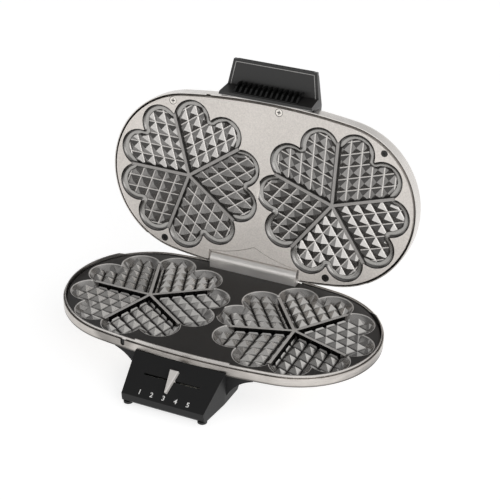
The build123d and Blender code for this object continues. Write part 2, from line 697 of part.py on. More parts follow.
# Flat twin lead from the terminal block, under the reflector, to the thermostat
with BuildPart() as inner_lead:
    lead_top = bowl_bottom + lead_rise
    thermostat_end = panel_point(slot_down - 8, -thermostat_drop - thermostat_wall / 2)
    points = [(wire_x, rear_wire_y, block_floor + block_height), (wire_x, rear_wire_y, lead_top),
              (wire_x, front_wire_y, lead_top), (wire_x, front_wire_y, thermostat_end[1]),
              (wire_x, thermostat_end[0] + 3, thermostat_end[1])]
    with BuildLine(base_level(0)) as route:
        Polyline(*points)
    with BuildSketch(base_level(block_floor + block_height)) as section:
        with Locations((wire_x, rear_wire_y)):
            Rectangle(lead_width, lead_thickness)
    sweep(section.sketch, path=route.wire(), transition=Transition.RIGHT)
inner_lead.part.label = "inner_lead"
export_step(inner_lead.part, "parts/inner_lead.step")

with BuildPart() as thermal_fuse:
    studs(base_side(-8), ((-14, -plate_thickness - 2.1),), 2, 16)
thermal_fuse.part.label = "thermal_fuse"
export_step(thermal_fuse.part, "parts/thermal_fuse.step")

# Temperature control: knob and stem above the panel, a carriage below it, and a follower that rides
# on the carriage's nose and presses on the thermostat
with BuildPart() as temperature_slider:
    knob = [(-knob_half, -knob_top_down), (-1, -knob_tip_down), (1, -knob_tip_down), (knob_half, -knob_top_down)]
    prism(panel_level(fit_gap), knob, knob_rise)
    fillet(temperature_slider.faces().sort_by(panel_axis)[-1].edges(), 0.9)
    slab(panel_level(fit_gap), (-stem_half, -slot_down - stem_wall / 2), (stem_half, -slot_down + stem_wall / 2),
         -panel_wall - 2 * fit_gap - carriage_wall + 0.5)
temperature_slider.part.label = "temperature_slider"
export_step(temperature_slider.part, "parts/temperature_slider.step")

carriage_top = -panel_wall - fit_gap
nose_top = carriage_top - carriage_wall
follower_top = nose_top - 1 - fit_gap
with BuildPart() as slider_carriage:
    slab(panel_level(nose_top), (-carriage_half, -slot_down - 5), (carriage_half, -slot_down + 5), carriage_wall)
    slab(panel_level(nose_top - 1), (-1.5, -slot_down - 3), (1.5, -slot_down + 3), 1)
    slab(panel_level(nose_top + 0.4), (-stem_half - pin_fit, -slot_down - stem_wall / 2 - pin_fit),
         (stem_half + pin_fit, -slot_down + stem_wall / 2 + pin_fit), carriage_wall, Mode.SUBTRACT)
slider_carriage.part.label = "slider_carriage"
export_step(slider_carriage.part, "parts/slider_carriage.step")

with BuildPart() as thermostat_follower:
    reach = slide_travel + 6
    bar = [(-reach, follower_top - 2 - ramp * reach), (reach, follower_top - 2 + ramp * reach),
           (reach, follower_top + ramp * reach), (-reach, follower_top - ramp * reach)]
    prism(panel_front(slot_down - 2.5), bar, 5)
    studs(panel_level(follower_top - 1.8), ((0, -slot_down),), follower_pin, -thermostat_drop - follower_top - 2)
thermostat_follower.part.label = "thermostat_follower"
export_step(thermostat_follower.part, "parts/thermostat_follower.step")

with BuildPart() as thermostat:
    slab(panel_level(-thermostat_drop - thermostat_wall), (-10, -slot_down - 8), (10, -slot_down + 8), thermostat_wall)
    studs(panel_level(-thermostat_drop), ((0, -slot_down),), follower_pin + fit_gap, 2 - thermostat_wall, Mode.SUBTRACT)
thermostat.part.label = "thermostat"
export_step(thermostat.part, "parts/thermostat.step")

with BuildPart() as thermostat_bracket:
    high = panel_point(slot_down - 8, -thermostat_drop - thermostat_wall)
    low = panel_point(slot_down + 8, -thermostat_drop - thermostat_wall)
    stand = console_base_z + cover_wall
    prism(base_side(-7), [high, low, (low[0], stand), (high[0] + 1.2, stand), (high[0] + 1.2, high[1])], 14)
    prism(base_side(-7), [(high[0], high[1] - 1.5), (low[0] + 3.2, stand + 1.2), (high[0], stand + 1.2)], 14,
          Mode.SUBTRACT)
thermostat_bracket.part.label = "thermostat_bracket"
export_step(thermostat_bracket.part, "parts/thermostat_bracket.step")


# Heating, the same under the lower plate and over the upper one: a square tube bent round both rosettes
def heater_tube(level, centre):
    corner = heater_ring * tan(radians(22.5))
    far = half_spacing + heater_ring
    right = [(heater_end_x, heater_end_y), (heater_end_x, -heater_ring - heater_bend),
             (heater_end_x + heater_bend, -heater_ring), (half_spacing + corner, -heater_ring), (far, -corner),
             (far, corner), (half_spacing + corner, heater_ring), (half_spacing - corner, heater_ring),
             (half_spacing - heater_ring, link_y)]
    with BuildLine(level(centre)) as route:
        Polyline(*right, *[(-x, y) for x, y in reversed(right)])
    wire = route.wire()
    with BuildSketch(Plane(origin=wire @ 0, x_dir=(1, 0, 0), z_dir=wire % 0)) as section:
        Rectangle(2 * heater_radius, 2 * heater_radius)
    sweep(section.sketch, path=wire, transition=Transition.RIGHT)


# A strap over the tube, its feet on the plate
def heater_clip(plane, across, way):
    room = heater_radius + 0.7
    deep = 2 * heater_radius + 0.2
    wall = clip_wall
    half = [(8, wall), (room + wall, wall), (room + wall, deep + wall)]
    loop = [(-t, h) for t, h in half] + [(t, h) for t, h in reversed(half)]
    loop += [(8, 0), (room, 0), (room, deep), (-room, deep), (-room, 0), (-8, 0)]
    prism(plane, [(across + t, way * (plate_thickness + h)) for t, h in loop], clip_width)


heater_centre = plate_thickness + heater_radius + 0.1
with BuildPart() as lower_heater:
    heater_tube(base_level, -heater_centre)
lower_heater.part.label = "lower_heater"
export_step(lower_heater.part, "parts/lower_heater.step")

with BuildPart() as upper_heater:
    heater_tube(lid_level, heater_centre)
upper_heater.part.label = "upper_heater"
export_step(upper_heater.part, "parts/upper_heater.step")

with BuildPart() as lower_heater_clips:
    for place_x, place_y in ((-clip_x, -heater_ring), (clip_x, -heater_ring), (0, link_y)):
        heater_clip(base_side(place_x - clip_width / 2), place_y, -1)
    for place_x in (-half_spacing - heater_ring, half_spacing + heater_ring):
        heater_clip(base_front(clip_width / 2), place_x, -1)
lower_heater_clips.part.label = "lower_heater_clips"
export_step(lower_heater_clips.part, "parts/lower_heater_clips.step")

with BuildPart() as upper_heater_clips:
    for place_x, place_y in ((-clip_x, -heater_ring), (clip_x, -heater_ring), (0, link_y)):
        heater_clip(lid_side(place_x - clip_width / 2), place_y, 1)
    for place_x in (-half_spacing - heater_ring, half_spacing + heater_ring):
        heater_clip(lid_front(clip_width / 2), place_x, 1)
upper_heater_clips.part.label = "upper_heater_clips"
export_step(upper_heater_clips.part, "parts/upper_heater_clips.step")

with BuildPart() as lower_reflector:
    rim_slab(base_level(lower_reflector_z), -reflector_inset, -reflector_wall)
    studs(base_level(lower_reflector_z), plate_bosses, boss_radius + fit_gap, -reflector_wall, Mode.SUBTRACT)
lower_reflector.part.label = "lower_reflector"
export_step(lower_reflector.part, "parts/lower_reflector.step")

with BuildPart() as upper_reflector:
    rim_slab(lid_level(upper_reflector_z), -reflector_inset, reflector_wall)
    studs(lid_level(upper_reflector_z), plate_bosses, screw_radius + pin_fit, reflector_wall, Mode.SUBTRACT)
upper_reflector.part.label = "upper_reflector"
export_step(upper_reflector.part, "parts/upper_reflector.step")

with BuildPart() as reflector_screws:
    studs(lid_level(upper_reflector_z + reflector_wall), plate_bosses, small_head_radius, small_head)
    studs(lid_level(upper_reflector_z + reflector_wall), plate_bosses, screw_radius, -4)
reflector_screws.part.label = "reflector_screws"
export_step(reflector_screws.part, "parts/reflector_screws.step")

with BuildPart() as lower_plate_screws:
    studs(base_level(bowl_bottom), plate_bosses, head_radius, -head_height)
    studs(base_level(bowl_bottom), plate_bosses, screw_radius, 9)
lower_plate_screws.part.label = "lower_plate_screws"
export_step(lower_plate_screws.part, "parts/lower_plate_screws.step")

# Lid: bright domed shell over the upper plate
with BuildPart() as lid_shell:
    add(dome_solid(0, lid_rim_z))
    add(dome_solid(-sheet, lid_rim_z - 1), mode=Mode.SUBTRACT)
    slab(lid_level(lid_rim_z), (-2 * half_spacing - 20, lid_rim_rear_y), (2 * half_spacing + 20, plate_notch),
         lid_rim_rear_z - lid_rim_z, Mode.SUBTRACT)
    slab(lid_level(0), (-shell_notch_half, shell_notch_y), (shell_notch_half, plate_notch), 2 * lid_top_z,
         Mode.SUBTRACT)
    slab(lid_front(-half_spacing + 20), (notch_x - notch_width / 2, 0), (notch_x + notch_width / 2, lid_notch_height),
         half_spacing, Mode.SUBTRACT)
    studs(lid_front(20 - half_spacing), handle_screw_places, screw_radius + pin_fit, half_spacing, Mode.SUBTRACT)
lid_shell.part.label = "lid_shell"
export_step(lid_shell.part, "parts/lid_shell.step")

with BuildPart() as lid_posts:
    studs(lid_level(plate_thickness), upper_screws, boss_radius, post_top - plate_thickness)
    studs(lid_level(plate_thickness), upper_screws, screw_radius + pin_fit, 10, Mode.SUBTRACT)
lid_posts.part.label = "lid_posts"
export_step(lid_posts.part, "parts/lid_posts.step")

with BuildPart() as upper_plate_screws:
    studs(lid_level(fit_gap), upper_screws, head_radius, head_height, sides=head_sides)
    studs(lid_level(fit_gap + head_height), upper_screws, screw_radius, plate_thickness + 6)
    with BuildSketch(lid_level(fit_gap)) as recess:
        with Locations(*upper_screws):
            Rectangle(recess_arm, recess_width)
            Rectangle(recess_width, recess_arm)
    extrude(recess.sketch, amount=recess_depth, mode=Mode.SUBTRACT)
upper_plate_screws.part.label = "upper_plate_screws"
export_step(upper_plate_screws.part, "parts/upper_plate_screws.step")

# Hinge web: the strip of the upper face behind the seam, with a flange that closes the lid's back
with BuildPart() as hinge_web:
    with BuildSketch(lid_level(0)) as strip:
        seam_face(seam_gap)
        with Locations((0, web_edge_y - 20)):
            Rectangle(2 * web_half, 40, mode=Mode.INTERSECT)
    extrude(strip.sketch, amount=web_wall)
    slab(lid_level(web_wall), (-web_half, web_flange_y - web_wall), (web_half, web_flange_y),
         lid_top_z - sheet - fit_gap - web_wall)
hinge_web.part.label = "hinge_web"
export_step(hinge_web.part, "parts/hinge_web.step")

# Cheeks: side walls of the lid's hinge bay, bored for the pin, each with a foot on the plate
with BuildPart() as hinge_cheeks:
    for way in (-1, 1):
        start = cheek_inner if way > 0 else -cheek_outer
        with BuildSketch(lid_side(start)) as cheek:
            with BuildLine() as outline:
                back = cheek_back_y - lid_round + sheet
                Polyline((back, lid_top_z - 0.6), (shell_notch_y + 0.2, lid_top_z - 0.6), (shell_notch_y + 0.2, 26),
                         (cheek_front_y, 18), (cheek_front_y, plate_thickness), (shell_notch_y + 0.4, plate_thickness),
                         (shell_notch_y + 0.4, cheek_low_z), (cheek_back_y, cheek_low_z), (cheek_back_y, lid_top_z - lid_round))
                bend = (lid_round - sheet) * sin(radians(45))
                ThreePointArc((cheek_back_y, lid_top_z - lid_round),
                              (back + bend, lid_top_z - lid_round + bend + 0.3), (back, lid_top_z - 0.6))
            make_face(outline.edges())
        extrude(cheek.sketch, amount=cheek_wall)
        foot_from = cheek_outer if way > 0 else -cheek_outer - cheek_foot
        slab(lid_level(plate_thickness), (foot_from, cheek_front_y),
             (foot_from + cheek_foot, cheek_front_y + cheek_foot), cheek_wall)
    rods(lid_side(-cheek_outer), ((hinge_y, hinge_z - closed_gap),), pin_radius + pin_fit, 2 * cheek_outer, Mode.SUBTRACT)
    studs(lid_level(plate_thickness), cheek_screws, small_shank + pin_fit, cheek_wall, Mode.SUBTRACT)
hinge_cheeks.part.label = "hinge_cheeks"
export_step(hinge_cheeks.part, "parts/hinge_cheeks.step")

with BuildPart() as cheek_screw_set:
    studs(lid_level(plate_thickness + cheek_wall), cheek_screws, small_head_radius, small_head)
    studs(lid_level(plate_thickness + cheek_wall), cheek_screws, small_shank, -cheek_wall - 3)
cheek_screw_set.part.label = "cheek_screws"
export_step(cheek_screw_set.part, "parts/cheek_screws.step")

# Lid handle: moulded grip with an open finger pocket under its top
with BuildPart() as lid_handle:
    with BuildSketch(lid_side(0)) as profile:
        with BuildLine() as outline:
            Polyline((handle_tip_y, handle_tip_low), (handle_tip_y, handle_tip_top), (handle_root_y, handle_root_z),
                     (handle_root_y, 5), (handle_back_y, 5), (handle_back_y, ledge_z), (ledge_y, ledge_z),
                     (pocket_top_y, pocket_top_z), close=True)
        make_face(outline.edges())
        fillet(profile.vertices().group_by(Axis.X)[0], 1.8)
    extrude(profile.sketch, amount=handle_half_root, both=True)
    with BuildSketch(lid_level(ledge_z - 1)) as plan:
        with BuildLine() as rim:
            Polyline((-handle_half_tip, handle_tip_y), (handle_half_tip, handle_tip_y), (handle_half_root, handle_back_y),
                     (handle_half_root, handle_root_y), (-handle_half_root, handle_root_y),
                     (-handle_half_root, handle_back_y), close=True)
        make_face(rim.edges())
        fillet(plan.vertices().group_by(Axis.Y)[0], 7)
    extrude(plan.sketch, amount=lid_top_z - ledge_z + 2, mode=Mode.INTERSECT)
    add(dome_solid(fit_gap, lid_rim_z), mode=Mode.SUBTRACT)
    studs(lid_front(handle_screw_y), handle_screw_places, screw_radius + pin_fit, 6.5, Mode.SUBTRACT)
lid_handle.part.label = "lid_handle"
export_step(lid_handle.part, "parts/lid_handle.step")

with BuildPart() as handle_grip_insert:
    first_rib = rib_shift - rib_pitch * (rib_count - 1) / 2
    lean = (pocket_top_y - ledge_y) / (pocket_top_z - ledge_z)
    low = ledge_z + 0.9
    high = pocket_top_z - fit_gap
    wall_low = ledge_y + lean * (low - ledge_z) - 0.1
    wall_high = ledge_y + lean * (high - ledge_z) - 0.1
    backing = [(wall_low, low), (wall_high, high), (wall_high - 1, high), (wall_low - 1, low)]
    prism(lid_side(first_rib - rib_wall / 2), backing, rib_pitch * (rib_count - 1) + rib_wall)
    fin = [(rib_reach_y, 12.5), (rib_reach_y, high), (wall_high, high), (wall_low, low), (rib_reach_y + 2.6, 5)]
    for rib in range(rib_count):
        prism(lid_side(first_rib + rib_pitch * rib - rib_wall / 2), fin, rib_wall)
handle_grip_insert.part.label = "handle_grip_insert"
export_step(handle_grip_insert.part, "parts/handle_grip_insert.step")

with BuildPart() as handle_screws:
    studs(lid_front(handle_screw_y), handle_screw_places, head_radius, -head_height)
    studs(lid_front(handle_screw_y), handle_screw_places, screw_radius, 6)
handle_screws.part.label = "handle_screws"
export_step(handle_screws.part, "parts/handle_screws.step")
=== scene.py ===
import math

import bmesh
import bpy
from mathutils import Matrix, Vector


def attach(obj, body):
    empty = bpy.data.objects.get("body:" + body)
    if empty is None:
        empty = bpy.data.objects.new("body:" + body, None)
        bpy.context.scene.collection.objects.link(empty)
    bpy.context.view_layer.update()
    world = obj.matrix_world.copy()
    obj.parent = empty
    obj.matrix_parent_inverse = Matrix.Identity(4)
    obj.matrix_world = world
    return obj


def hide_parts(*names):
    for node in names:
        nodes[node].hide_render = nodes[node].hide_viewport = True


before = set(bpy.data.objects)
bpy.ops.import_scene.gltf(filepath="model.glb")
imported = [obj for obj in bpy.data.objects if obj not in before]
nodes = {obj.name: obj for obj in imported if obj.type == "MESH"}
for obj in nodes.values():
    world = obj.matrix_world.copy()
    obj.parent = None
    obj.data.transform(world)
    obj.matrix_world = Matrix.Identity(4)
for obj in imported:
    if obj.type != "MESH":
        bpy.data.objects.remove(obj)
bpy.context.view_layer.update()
mm = 0.001
print("frame loaded:", len(nodes), "nodes")

# where the plates lie and how their rosettes are drawn, in millimetres and degrees; the hinge's place is
# counted from the rosettes' centre line and the lower plate's face
plates = {
    "y": 2.65, "height": 44.5, "halfSpacing": 85.0, "turnLeft": 36.0, "turnRight": 54.0, "heartAngle": 72.0,
    "pitch": 13.1, "lobeRing": 65.6, "lobeRadius": 21.8, "cuspRadius": 0.8, "wallRun": 8.6,
    "hingeY": 93.5, "hingeZ": 8.4, "closedGap": 0.5, "lidOpen": 96.5,
}
hingePoint = Vector((0, plates["y"] + plates["hingeY"], plates["height"] + plates["hingeZ"])) * mm
lidTurn = Matrix.Rotation(math.radians(-plates["lidOpen"]), 4, "X")
lidOrigin = Vector((0, plates["y"], plates["height"] + plates["closedGap"])) * mm
basePlace = Matrix.Translation(Vector((0, plates["y"], plates["height"])) * mm)
# carries a point from the upper plate's own frame to where it stands in the open lid
lidPlace = Matrix.Translation(hingePoint) @ lidTurn @ Matrix.Translation(lidOrigin - hingePoint)
places = {"base": basePlace, "lid": lidPlace}


# the middles of a lobe's arc and of the cusp beside it, seen from the middle of a rosette
def lobeAndCusp():
    quarter = math.radians(plates["heartAngle"] / 4)
    lobeX, lobeY = plates["lobeRing"] * math.cos(quarter), plates["lobeRing"] * math.sin(quarter)
    apart = plates["lobeRadius"] + plates["cuspRadius"]
    return lobeX, lobeY, lobeX + math.sqrt(apart ** 2 - lobeY ** 2)


# shader groups
def newGroup(name, inputs, outputs):
    group = bpy.data.node_groups.new(name, "ShaderNodeTree")
    for label, kind, value in inputs:
        socket = group.interface.new_socket(label, in_out="INPUT", socket_type=kind)
        if value is not None:
            socket.default_value = value
    for label, kind in outputs:
        group.interface.new_socket(label, in_out="OUTPUT", socket_type=kind)
    return group, group.nodes.new("NodeGroupInput"), group.nodes.new("NodeGroupOutput")


# short forms for adding nodes to one tree
class Wiring:
    def __init__(self, tree):
        self.tree = tree

    def add(self, kind, **settings):
        node = self.tree.nodes.new(kind)
        for key, value in settings.items():
            setattr(node, key, value)
        return node

    def join(self, source, target):
        self.tree.links.new(source, target)

    def put(self, socket, value):
        if isinstance(value, bpy.types.NodeSocket):
            self.join(value, socket)
        else:
            socket.default_value = value

    def math(self, operation, *values):
        node = self.add("ShaderNodeMath", operation=operation)
        for socket, value in zip(node.inputs, values):
            self.put(socket, value)
        return node.outputs[0]

    def plus(self, first, second):
        return self.math("ADD", first, second)

    def minus(self, first, second):
        return self.math("SUBTRACT", first, second)

    def times(self, first, second):
        return self.math("MULTIPLY", first, second)

    def length(self, first, second):
        return self.math("SQRT", self.plus(self.times(first, first), self.times(second, second)))

    # a soft step from one level to another, between two readings of the value
    def ramp(self, value, start, end, first=0.0, last=1.0):
        node = self.add("ShaderNodeMapRange", interpolation_type="SMOOTHSTEP")
        for socket, entry in zip(node.inputs, (value, start, end, first, last)):
            self.put(socket, entry)
        return node.outputs[0]

    # 1 between two soft steps, 0 outside them
    def band(self, value, rise, fall):
        return self.times(self.ramp(value, *rise), self.ramp(value, *fall))

    def mix(self, share, first, second, blend="MIX"):
        node = self.add("ShaderNodeMix", data_type="RGBA", blend_type=blend)
        for number, entry in ((0, share), (6, first), (7, second)):  # 6 and 7 are the two colours
            self.put(node.inputs[number], entry)
        return node.outputs[2]

    def noise(self, vector, scale, detail, rough):
        node = self.add("ShaderNodeTexNoise")
        self.join(vector, node.inputs["Vector"])
        self.put(node.inputs["Scale"], scale)
        self.put(node.inputs["Detail"], detail)
        self.put(node.inputs["Roughness"], rough)
        return node.outputs["Fac"]

    def mapped(self, vector, location=(0, 0, 0), rotation=(0, 0, 0), scale=(1, 1, 1)):
        node = self.add("ShaderNodeMapping")
        self.join(vector, node.inputs["Vector"])
        node.inputs["Location"].default_value = location
        node.inputs["Rotation"].default_value = rotation
        node.inputs["Scale"].default_value = scale
        return node.outputs["Vector"]

    def split(self, vector):
        node = self.add("ShaderNodeSeparateXYZ")
        self.join(vector, node.inputs[0])
        return node.outputs

    # a colour made lighter or darker by a factor
    def scaled(self, color, factor):
        gray = self.add("ShaderNodeCombineColor")
        for socket in gray.inputs[:3]:
            self.join(factor, socket)
        return self.mix(1.0, color, gray.outputs[0], "MULTIPLY")

    # a factor around 1 from two noises, the second one weaker
    def tint(self, fine, broad, share, amount):
        both = self.math("MULTIPLY_ADD", broad, share, self.minus(fine, (1 + share) / 2))
        return self.math("MULTIPLY_ADD", both, amount, 1.0)


grainLook = {"broadScale": 14.0, "broadShare": 0.35}
brushLook = {"streaks": (60, 60, 1600), "cloudScale": 22.0, "cloudShare": 0.8}


def grainGroup(look):
    group, enter, leave = newGroup(
        "fineGrain",
        [("Vector", "NodeSocketVector", None), ("Scale", "NodeSocketFloat", 900.0),
         ("Amount", "NodeSocketFloat", 0.1)],
        [("Tint", "NodeSocketFloat"), ("Height", "NodeSocketFloat")])
    wire = Wiring(group)
    fine = wire.noise(enter.outputs["Vector"], enter.outputs["Scale"], detail=2.0, rough=0.6)
    broad = wire.noise(enter.outputs["Vector"], look["broadScale"], detail=2.0, rough=0.5)
    wire.join(wire.tint(fine, broad, look["broadShare"], enter.outputs["Amount"]), leave.inputs["Tint"])
    wire.join(fine, leave.inputs["Height"])
    return group


def brushGroup(look):
    group, enter, leave = newGroup(
        "brushedSteel",
        [("Vector", "NodeSocketVector", None), ("Amount", "NodeSocketFloat", 0.2)],
        [("Tint", "NodeSocketFloat"), ("Streak", "NodeSocketFloat")])
    wire = Wiring(group)
    stretched = wire.mapped(enter.outputs["Vector"], scale=look["streaks"])
    streak = wire.noise(stretched, 1.0, detail=3.0, rough=0.65)
    cloud = wire.noise(enter.outputs["Vector"], look["cloudScale"], detail=3.0, rough=0.55)
    wire.join(wire.tint(streak, cloud, look["cloudShare"], enter.outputs["Amount"]), leave.inputs["Tint"])
    wire.join(streak, leave.inputs["Streak"])
    return group


# where a point lies among the hearts: its distances in millimetres to the nearer spoke and to the nearest
# groove, and inwards from the pocket's outline
def heartGroup():
    group, enter, leave = newGroup(
        "heartField",
        [("Vector", "NodeSocketVector", None), ("First groove", "NodeSocketFloat", 6.6)],
        [("Groove", "NodeSocketFloat"), ("Spoke", "NodeSocketFloat"), ("Outline", "NodeSocketFloat")])
    wire = Wiring(group)
    parts = wire.split(enter.outputs["Vector"])
    across = wire.times(parts[0], 1 / mm)
    along = wire.times(parts[1], 1 / mm)
    onRight = wire.math("GREATER_THAN", across, 0.0)
    side = wire.math("MULTIPLY_ADD", onRight, 2.0, -1.0)
    localX = wire.minus(across, wire.times(side, plates["halfSpacing"]))
    radius = wire.length(localX, along)
    turnSpread = math.radians(plates["turnRight"] - plates["turnLeft"])
    turn = wire.math("MULTIPLY_ADD", onRight, turnSpread, math.radians(plates["turnLeft"]))
    heart = math.radians(plates["heartAngle"])
    sector = wire.math("FLOORED_MODULO", wire.minus(wire.math("ARCTAN2", along, localX), turn), heart)
    spokes = [wire.times(radius, wire.math("SINE", angle)) for angle in (sector, wire.minus(heart, sector))]
    grooves = []
    for reach in spokes:
        shifted = wire.plus(wire.minus(reach, enter.outputs["First groove"]), plates["pitch"] / 2)
        inPitch = wire.math("FLOORED_MODULO", shifted, plates["pitch"])
        grooves.append(wire.math("ABSOLUTE", wire.minus(inPitch, plates["pitch"] / 2)))
    wire.join(wire.math("MINIMUM", *grooves), leave.inputs["Groove"])
    wire.join(wire.math("MINIMUM", *spokes), leave.inputs["Spoke"])

    # fold the point to the eighteen degrees between one cusp and one lobe
    fromLobe = wire.minus(wire.math("ABSOLUTE", wire.minus(sector, heart / 2)), heart / 4)
    folded = wire.minus(heart / 4, wire.math("ABSOLUTE", fromLobe))
    pointX = wire.times(radius, wire.math("COSINE", folded))
    pointY = wire.times(radius, wire.math("SINE", folded))
    lobeX, lobeY, cuspX = lobeAndCusp()
    beside = wire.plus(wire.times(wire.minus(pointX, cuspX), lobeY), wire.times(pointY, cuspX - lobeX))
    inCusp = wire.math("LESS_THAN", beside, 0.0)
    awayX = wire.minus(pointX, wire.math("MULTIPLY_ADD", inCusp, cuspX - lobeX, lobeX))
    awayY = wire.minus(pointY, wire.math("MULTIPLY_ADD", inCusp, -lobeY, lobeY))
    inward = wire.math("MULTIPLY_ADD", inCusp, 2.0, -1.0)
    lobe, cusp = plates["lobeRadius"], plates["cuspRadius"]
    rim = wire.math("MULTIPLY_ADD", inCusp, lobe + cusp, -lobe)
    wire.join(wire.minus(wire.times(inward, wire.length(awayX, awayY)), rim), leave.inputs["Outline"])
    return group


fineGrain = grainGroup(grainLook)
brushedSteel = brushGroup(brushLook)
heartField = heartGroup()
print("shader groups made")


# materials
def newMaterial(name):
    material = bpy.data.materials.new(name)
    material.use_nodes = True
    tree = material.node_tree
    tree.nodes.clear()
    wire = Wiring(tree)
    shader = wire.add("ShaderNodeBsdfPrincipled")
    output = wire.add("ShaderNodeOutputMaterial")
    wire.join(shader.outputs[0], output.inputs["Surface"])
    place = wire.add("ShaderNodeTexCoord").outputs["Object"]
    return material, wire, shader, place


def useGroup(wire, group, **values):
    node = wire.add("ShaderNodeGroup", node_tree=group)
    for key, value in values.items():
        wire.put(node.inputs[key.replace("_", " ")], value)
    return node.outputs


def bump(wire, shader, height, distance, strength):
    node = wire.add("ShaderNodeBump")
    node.inputs["Strength"].default_value = strength
    node.inputs["Distance"].default_value = distance
    wire.join(height, node.inputs["Height"])
    wire.join(node.outputs[0], shader.inputs["Normal"])


# a point of the open lid in the upper plate's own frame
def inUpperPlate(wire, place):
    return wire.mapped(place, location=lidPlace.inverted().to_translation(),
                       rotation=(math.radians(plates["lidOpen"]), 0, 0))


# a finish is a little smoother and rougher than its own value where its streaks or grain are low and high
# the steel's patch entries draw painted dark reflections, and footShade a line of painted shade
steelLook = {"streak": (0.3, 0.7), "smoother": 0.06, "rougher": 0.08, "bump": 0.5, "depth": 0.00003,
             "darkReflectionScale": 17.0, "darkReflectionEdge": (0.56, 0.68), "footShade": (0.0004, 0.0022, 0.3, 1.0)}
plainLook = {"grain": (0.25, 0.75), "smoother": 0.05, "rougher": 0.06, "bump": 0.6, "depth": 0.00003}


# amount says how much the brushing shows; the last two arguments paint light on the steel: how dark its soft
# patches of painted dark reflection are, and at what height, in metres, a dark line of painted shade runs
# along the band's foot
def steelMaterial(name, color, rough, amount, metal=1.0, depth=steelLook["depth"], darkReflections=0.0, footShadeZ=None):
    look = steelLook
    material, wire, shader, place = newMaterial(name)
    brush = useGroup(wire, brushedSteel, Vector=place, Amount=amount)
    tint = brush["Tint"]
    # painted reflection: soft dark patches
    if darkReflections:
        cloud = wire.noise(place, look["darkReflectionScale"], detail=1.0, rough=0.4)
        tint = wire.times(tint, wire.ramp(cloud, *look["darkReflectionEdge"], 1.0, 1.0 - darkReflections))
    # painted shade: a dark line along the band's foot
    if footShadeZ:
        fromLine = wire.math("ABSOLUTE", wire.minus(wire.split(place)[2], footShadeZ))
        tint = wire.times(tint, wire.ramp(fromLine, *look["footShade"]))
    wire.join(wire.scaled((*color, 1), tint), shader.inputs["Base Color"])
    smooth, coarse = rough - look["smoother"], rough + look["rougher"]
    wire.join(wire.ramp(brush["Streak"], *look["streak"], smooth, coarse), shader.inputs["Roughness"])
    shader.inputs["Metallic"].default_value = metal
    bump(wire, shader, brush["Streak"], depth, look["bump"])
    return material


def plainMaterial(name, color, rough, amount=0.1, scale=900.0, metal=0.0, gloss=0.5):
    look = plainLook
    material, wire, shader, place = newMaterial(name)
    grain = useGroup(wire, fineGrain, Vector=place, Scale=scale, Amount=amount)
    wire.join(wire.scaled((*color, 1), grain["Tint"]), shader.inputs["Base Color"])
    smooth, coarse = rough - look["smoother"], rough + look["rougher"]
    wire.join(wire.ramp(grain["Height"], *look["grain"], smooth, coarse), shader.inputs["Roughness"])
    shader.inputs["Metallic"].default_value = metal
    shader.inputs["Specular IOR Level"].default_value = gloss
    bump(wire, shader, grain["Height"], look["depth"], look["bump"])
    return material


# the pairs are readings, in millimetres, between which a tone of the plate comes in: depths from its face,
# and distances to a spoke's middle, to a groove's bottom and from the pocket's outline or its wall's foot
plateLook = {"pocketDepth": (0.03, 0.15), "pocketStart": (-0.3, 0.1), "bumpDepth": 0.00004, "bump": 0.5}
# the lower plate is one coat throughout, painted with light and shade: its face near-black as a painted dark
# reflection, its walls darker as painted shade, its spoke tops lighter and matte and its rim a light line as
# painted highlights
lowerPlate = {
    "coat": (0.030, 0.028, 0.0265), "coatRough": 0.45, "pocket": (0.56, 0.545, 0.525), "pocketRough": 0.26,
    "wall": (0.34, 0.33, 0.32), "spoke": (0.60, 0.58, 0.56), "rim": (0.74, 0.715, 0.69), "firstGroove": 6.6,
    "wallEnd": (0.1, -0.3), "spokeEdge": (1.72, 1.6), "spokeDepth": (1.2, 1.0),
    "grooveShade": (0.1, 2.0, 0.05, 1.0), "spokeShade": (2.8, 4.0, 0.08, 1.0),
    "rimHighlightRise": (-0.75, -0.45), "rimHighlightFall": (0.55, 0.25), "rimHighlightShare": 0.8,
    "metal": (0.3, 0.95), "grainScale": 1400.0, "grainAmount": 0.22,
}
# the upper plate is one coat throughout, painted with light and shade: its face pale and matte as a painted
# reflection of the bright light before it, against the pocket's dark metal, and its spoke tops lighter and
# matte as a painted highlight
upperPlate = {
    "face": (0.76, 0.715, 0.67), "faceRough": 0.5, "pocket": (0.24, 0.232, 0.224), "pocketRough": 0.25,
    # the wall colour is painted shade and the ledge colour painted light; the edge colour is painted shade
    # at the pocket's mouth, along the wall's foot and beside the spokes
    "wall": (0.19, 0.184, 0.178), "ledge": (0.36, 0.35, 0.335), "edge": (0.03, 0.028, 0.026),
    "line": (0.78, 0.75, 0.72), "spoke": (0.36, 0.345, 0.33), "firstGroove": 13.8, "wallRun": 6.8,
    "wallEnd": (0.0, -0.2), "litLedgeStart": (2.0, 3.4), "footShadeRise": (-0.5, -0.2), "footShadeFall": (0.6, 0.2),
    "footShadeShare": 0.8, "highlightLineEdge": (0.74, 0.5), "highlightLineDepth": (2.6, 2.9), "highlightLineStart": (3.4, 3.8),
    "mouthShadeRise": (-0.2, 0.1), "mouthShadeFall": (1.1, 0.5), "mouthShadeShare": 0.85,
    "spokeEdge": (1.75, 1.65), "besideShadeRise": (1.5, 1.8), "besideShadeFall": (3.2, 2.4), "besideShadeShare": 0.8,
    "metal": (0.95, 0.15), "grainScale": 1100.0, "grainAmount": 0.30,
    "coarseScale": 520.0, "coarseAmount": 0.42,
}


def pocketMask(wire, depth, heart):
    return wire.times(wire.ramp(depth, *plateLook["pocketDepth"]),
                      wire.ramp(heart["Outline"], *plateLook["pocketStart"]))


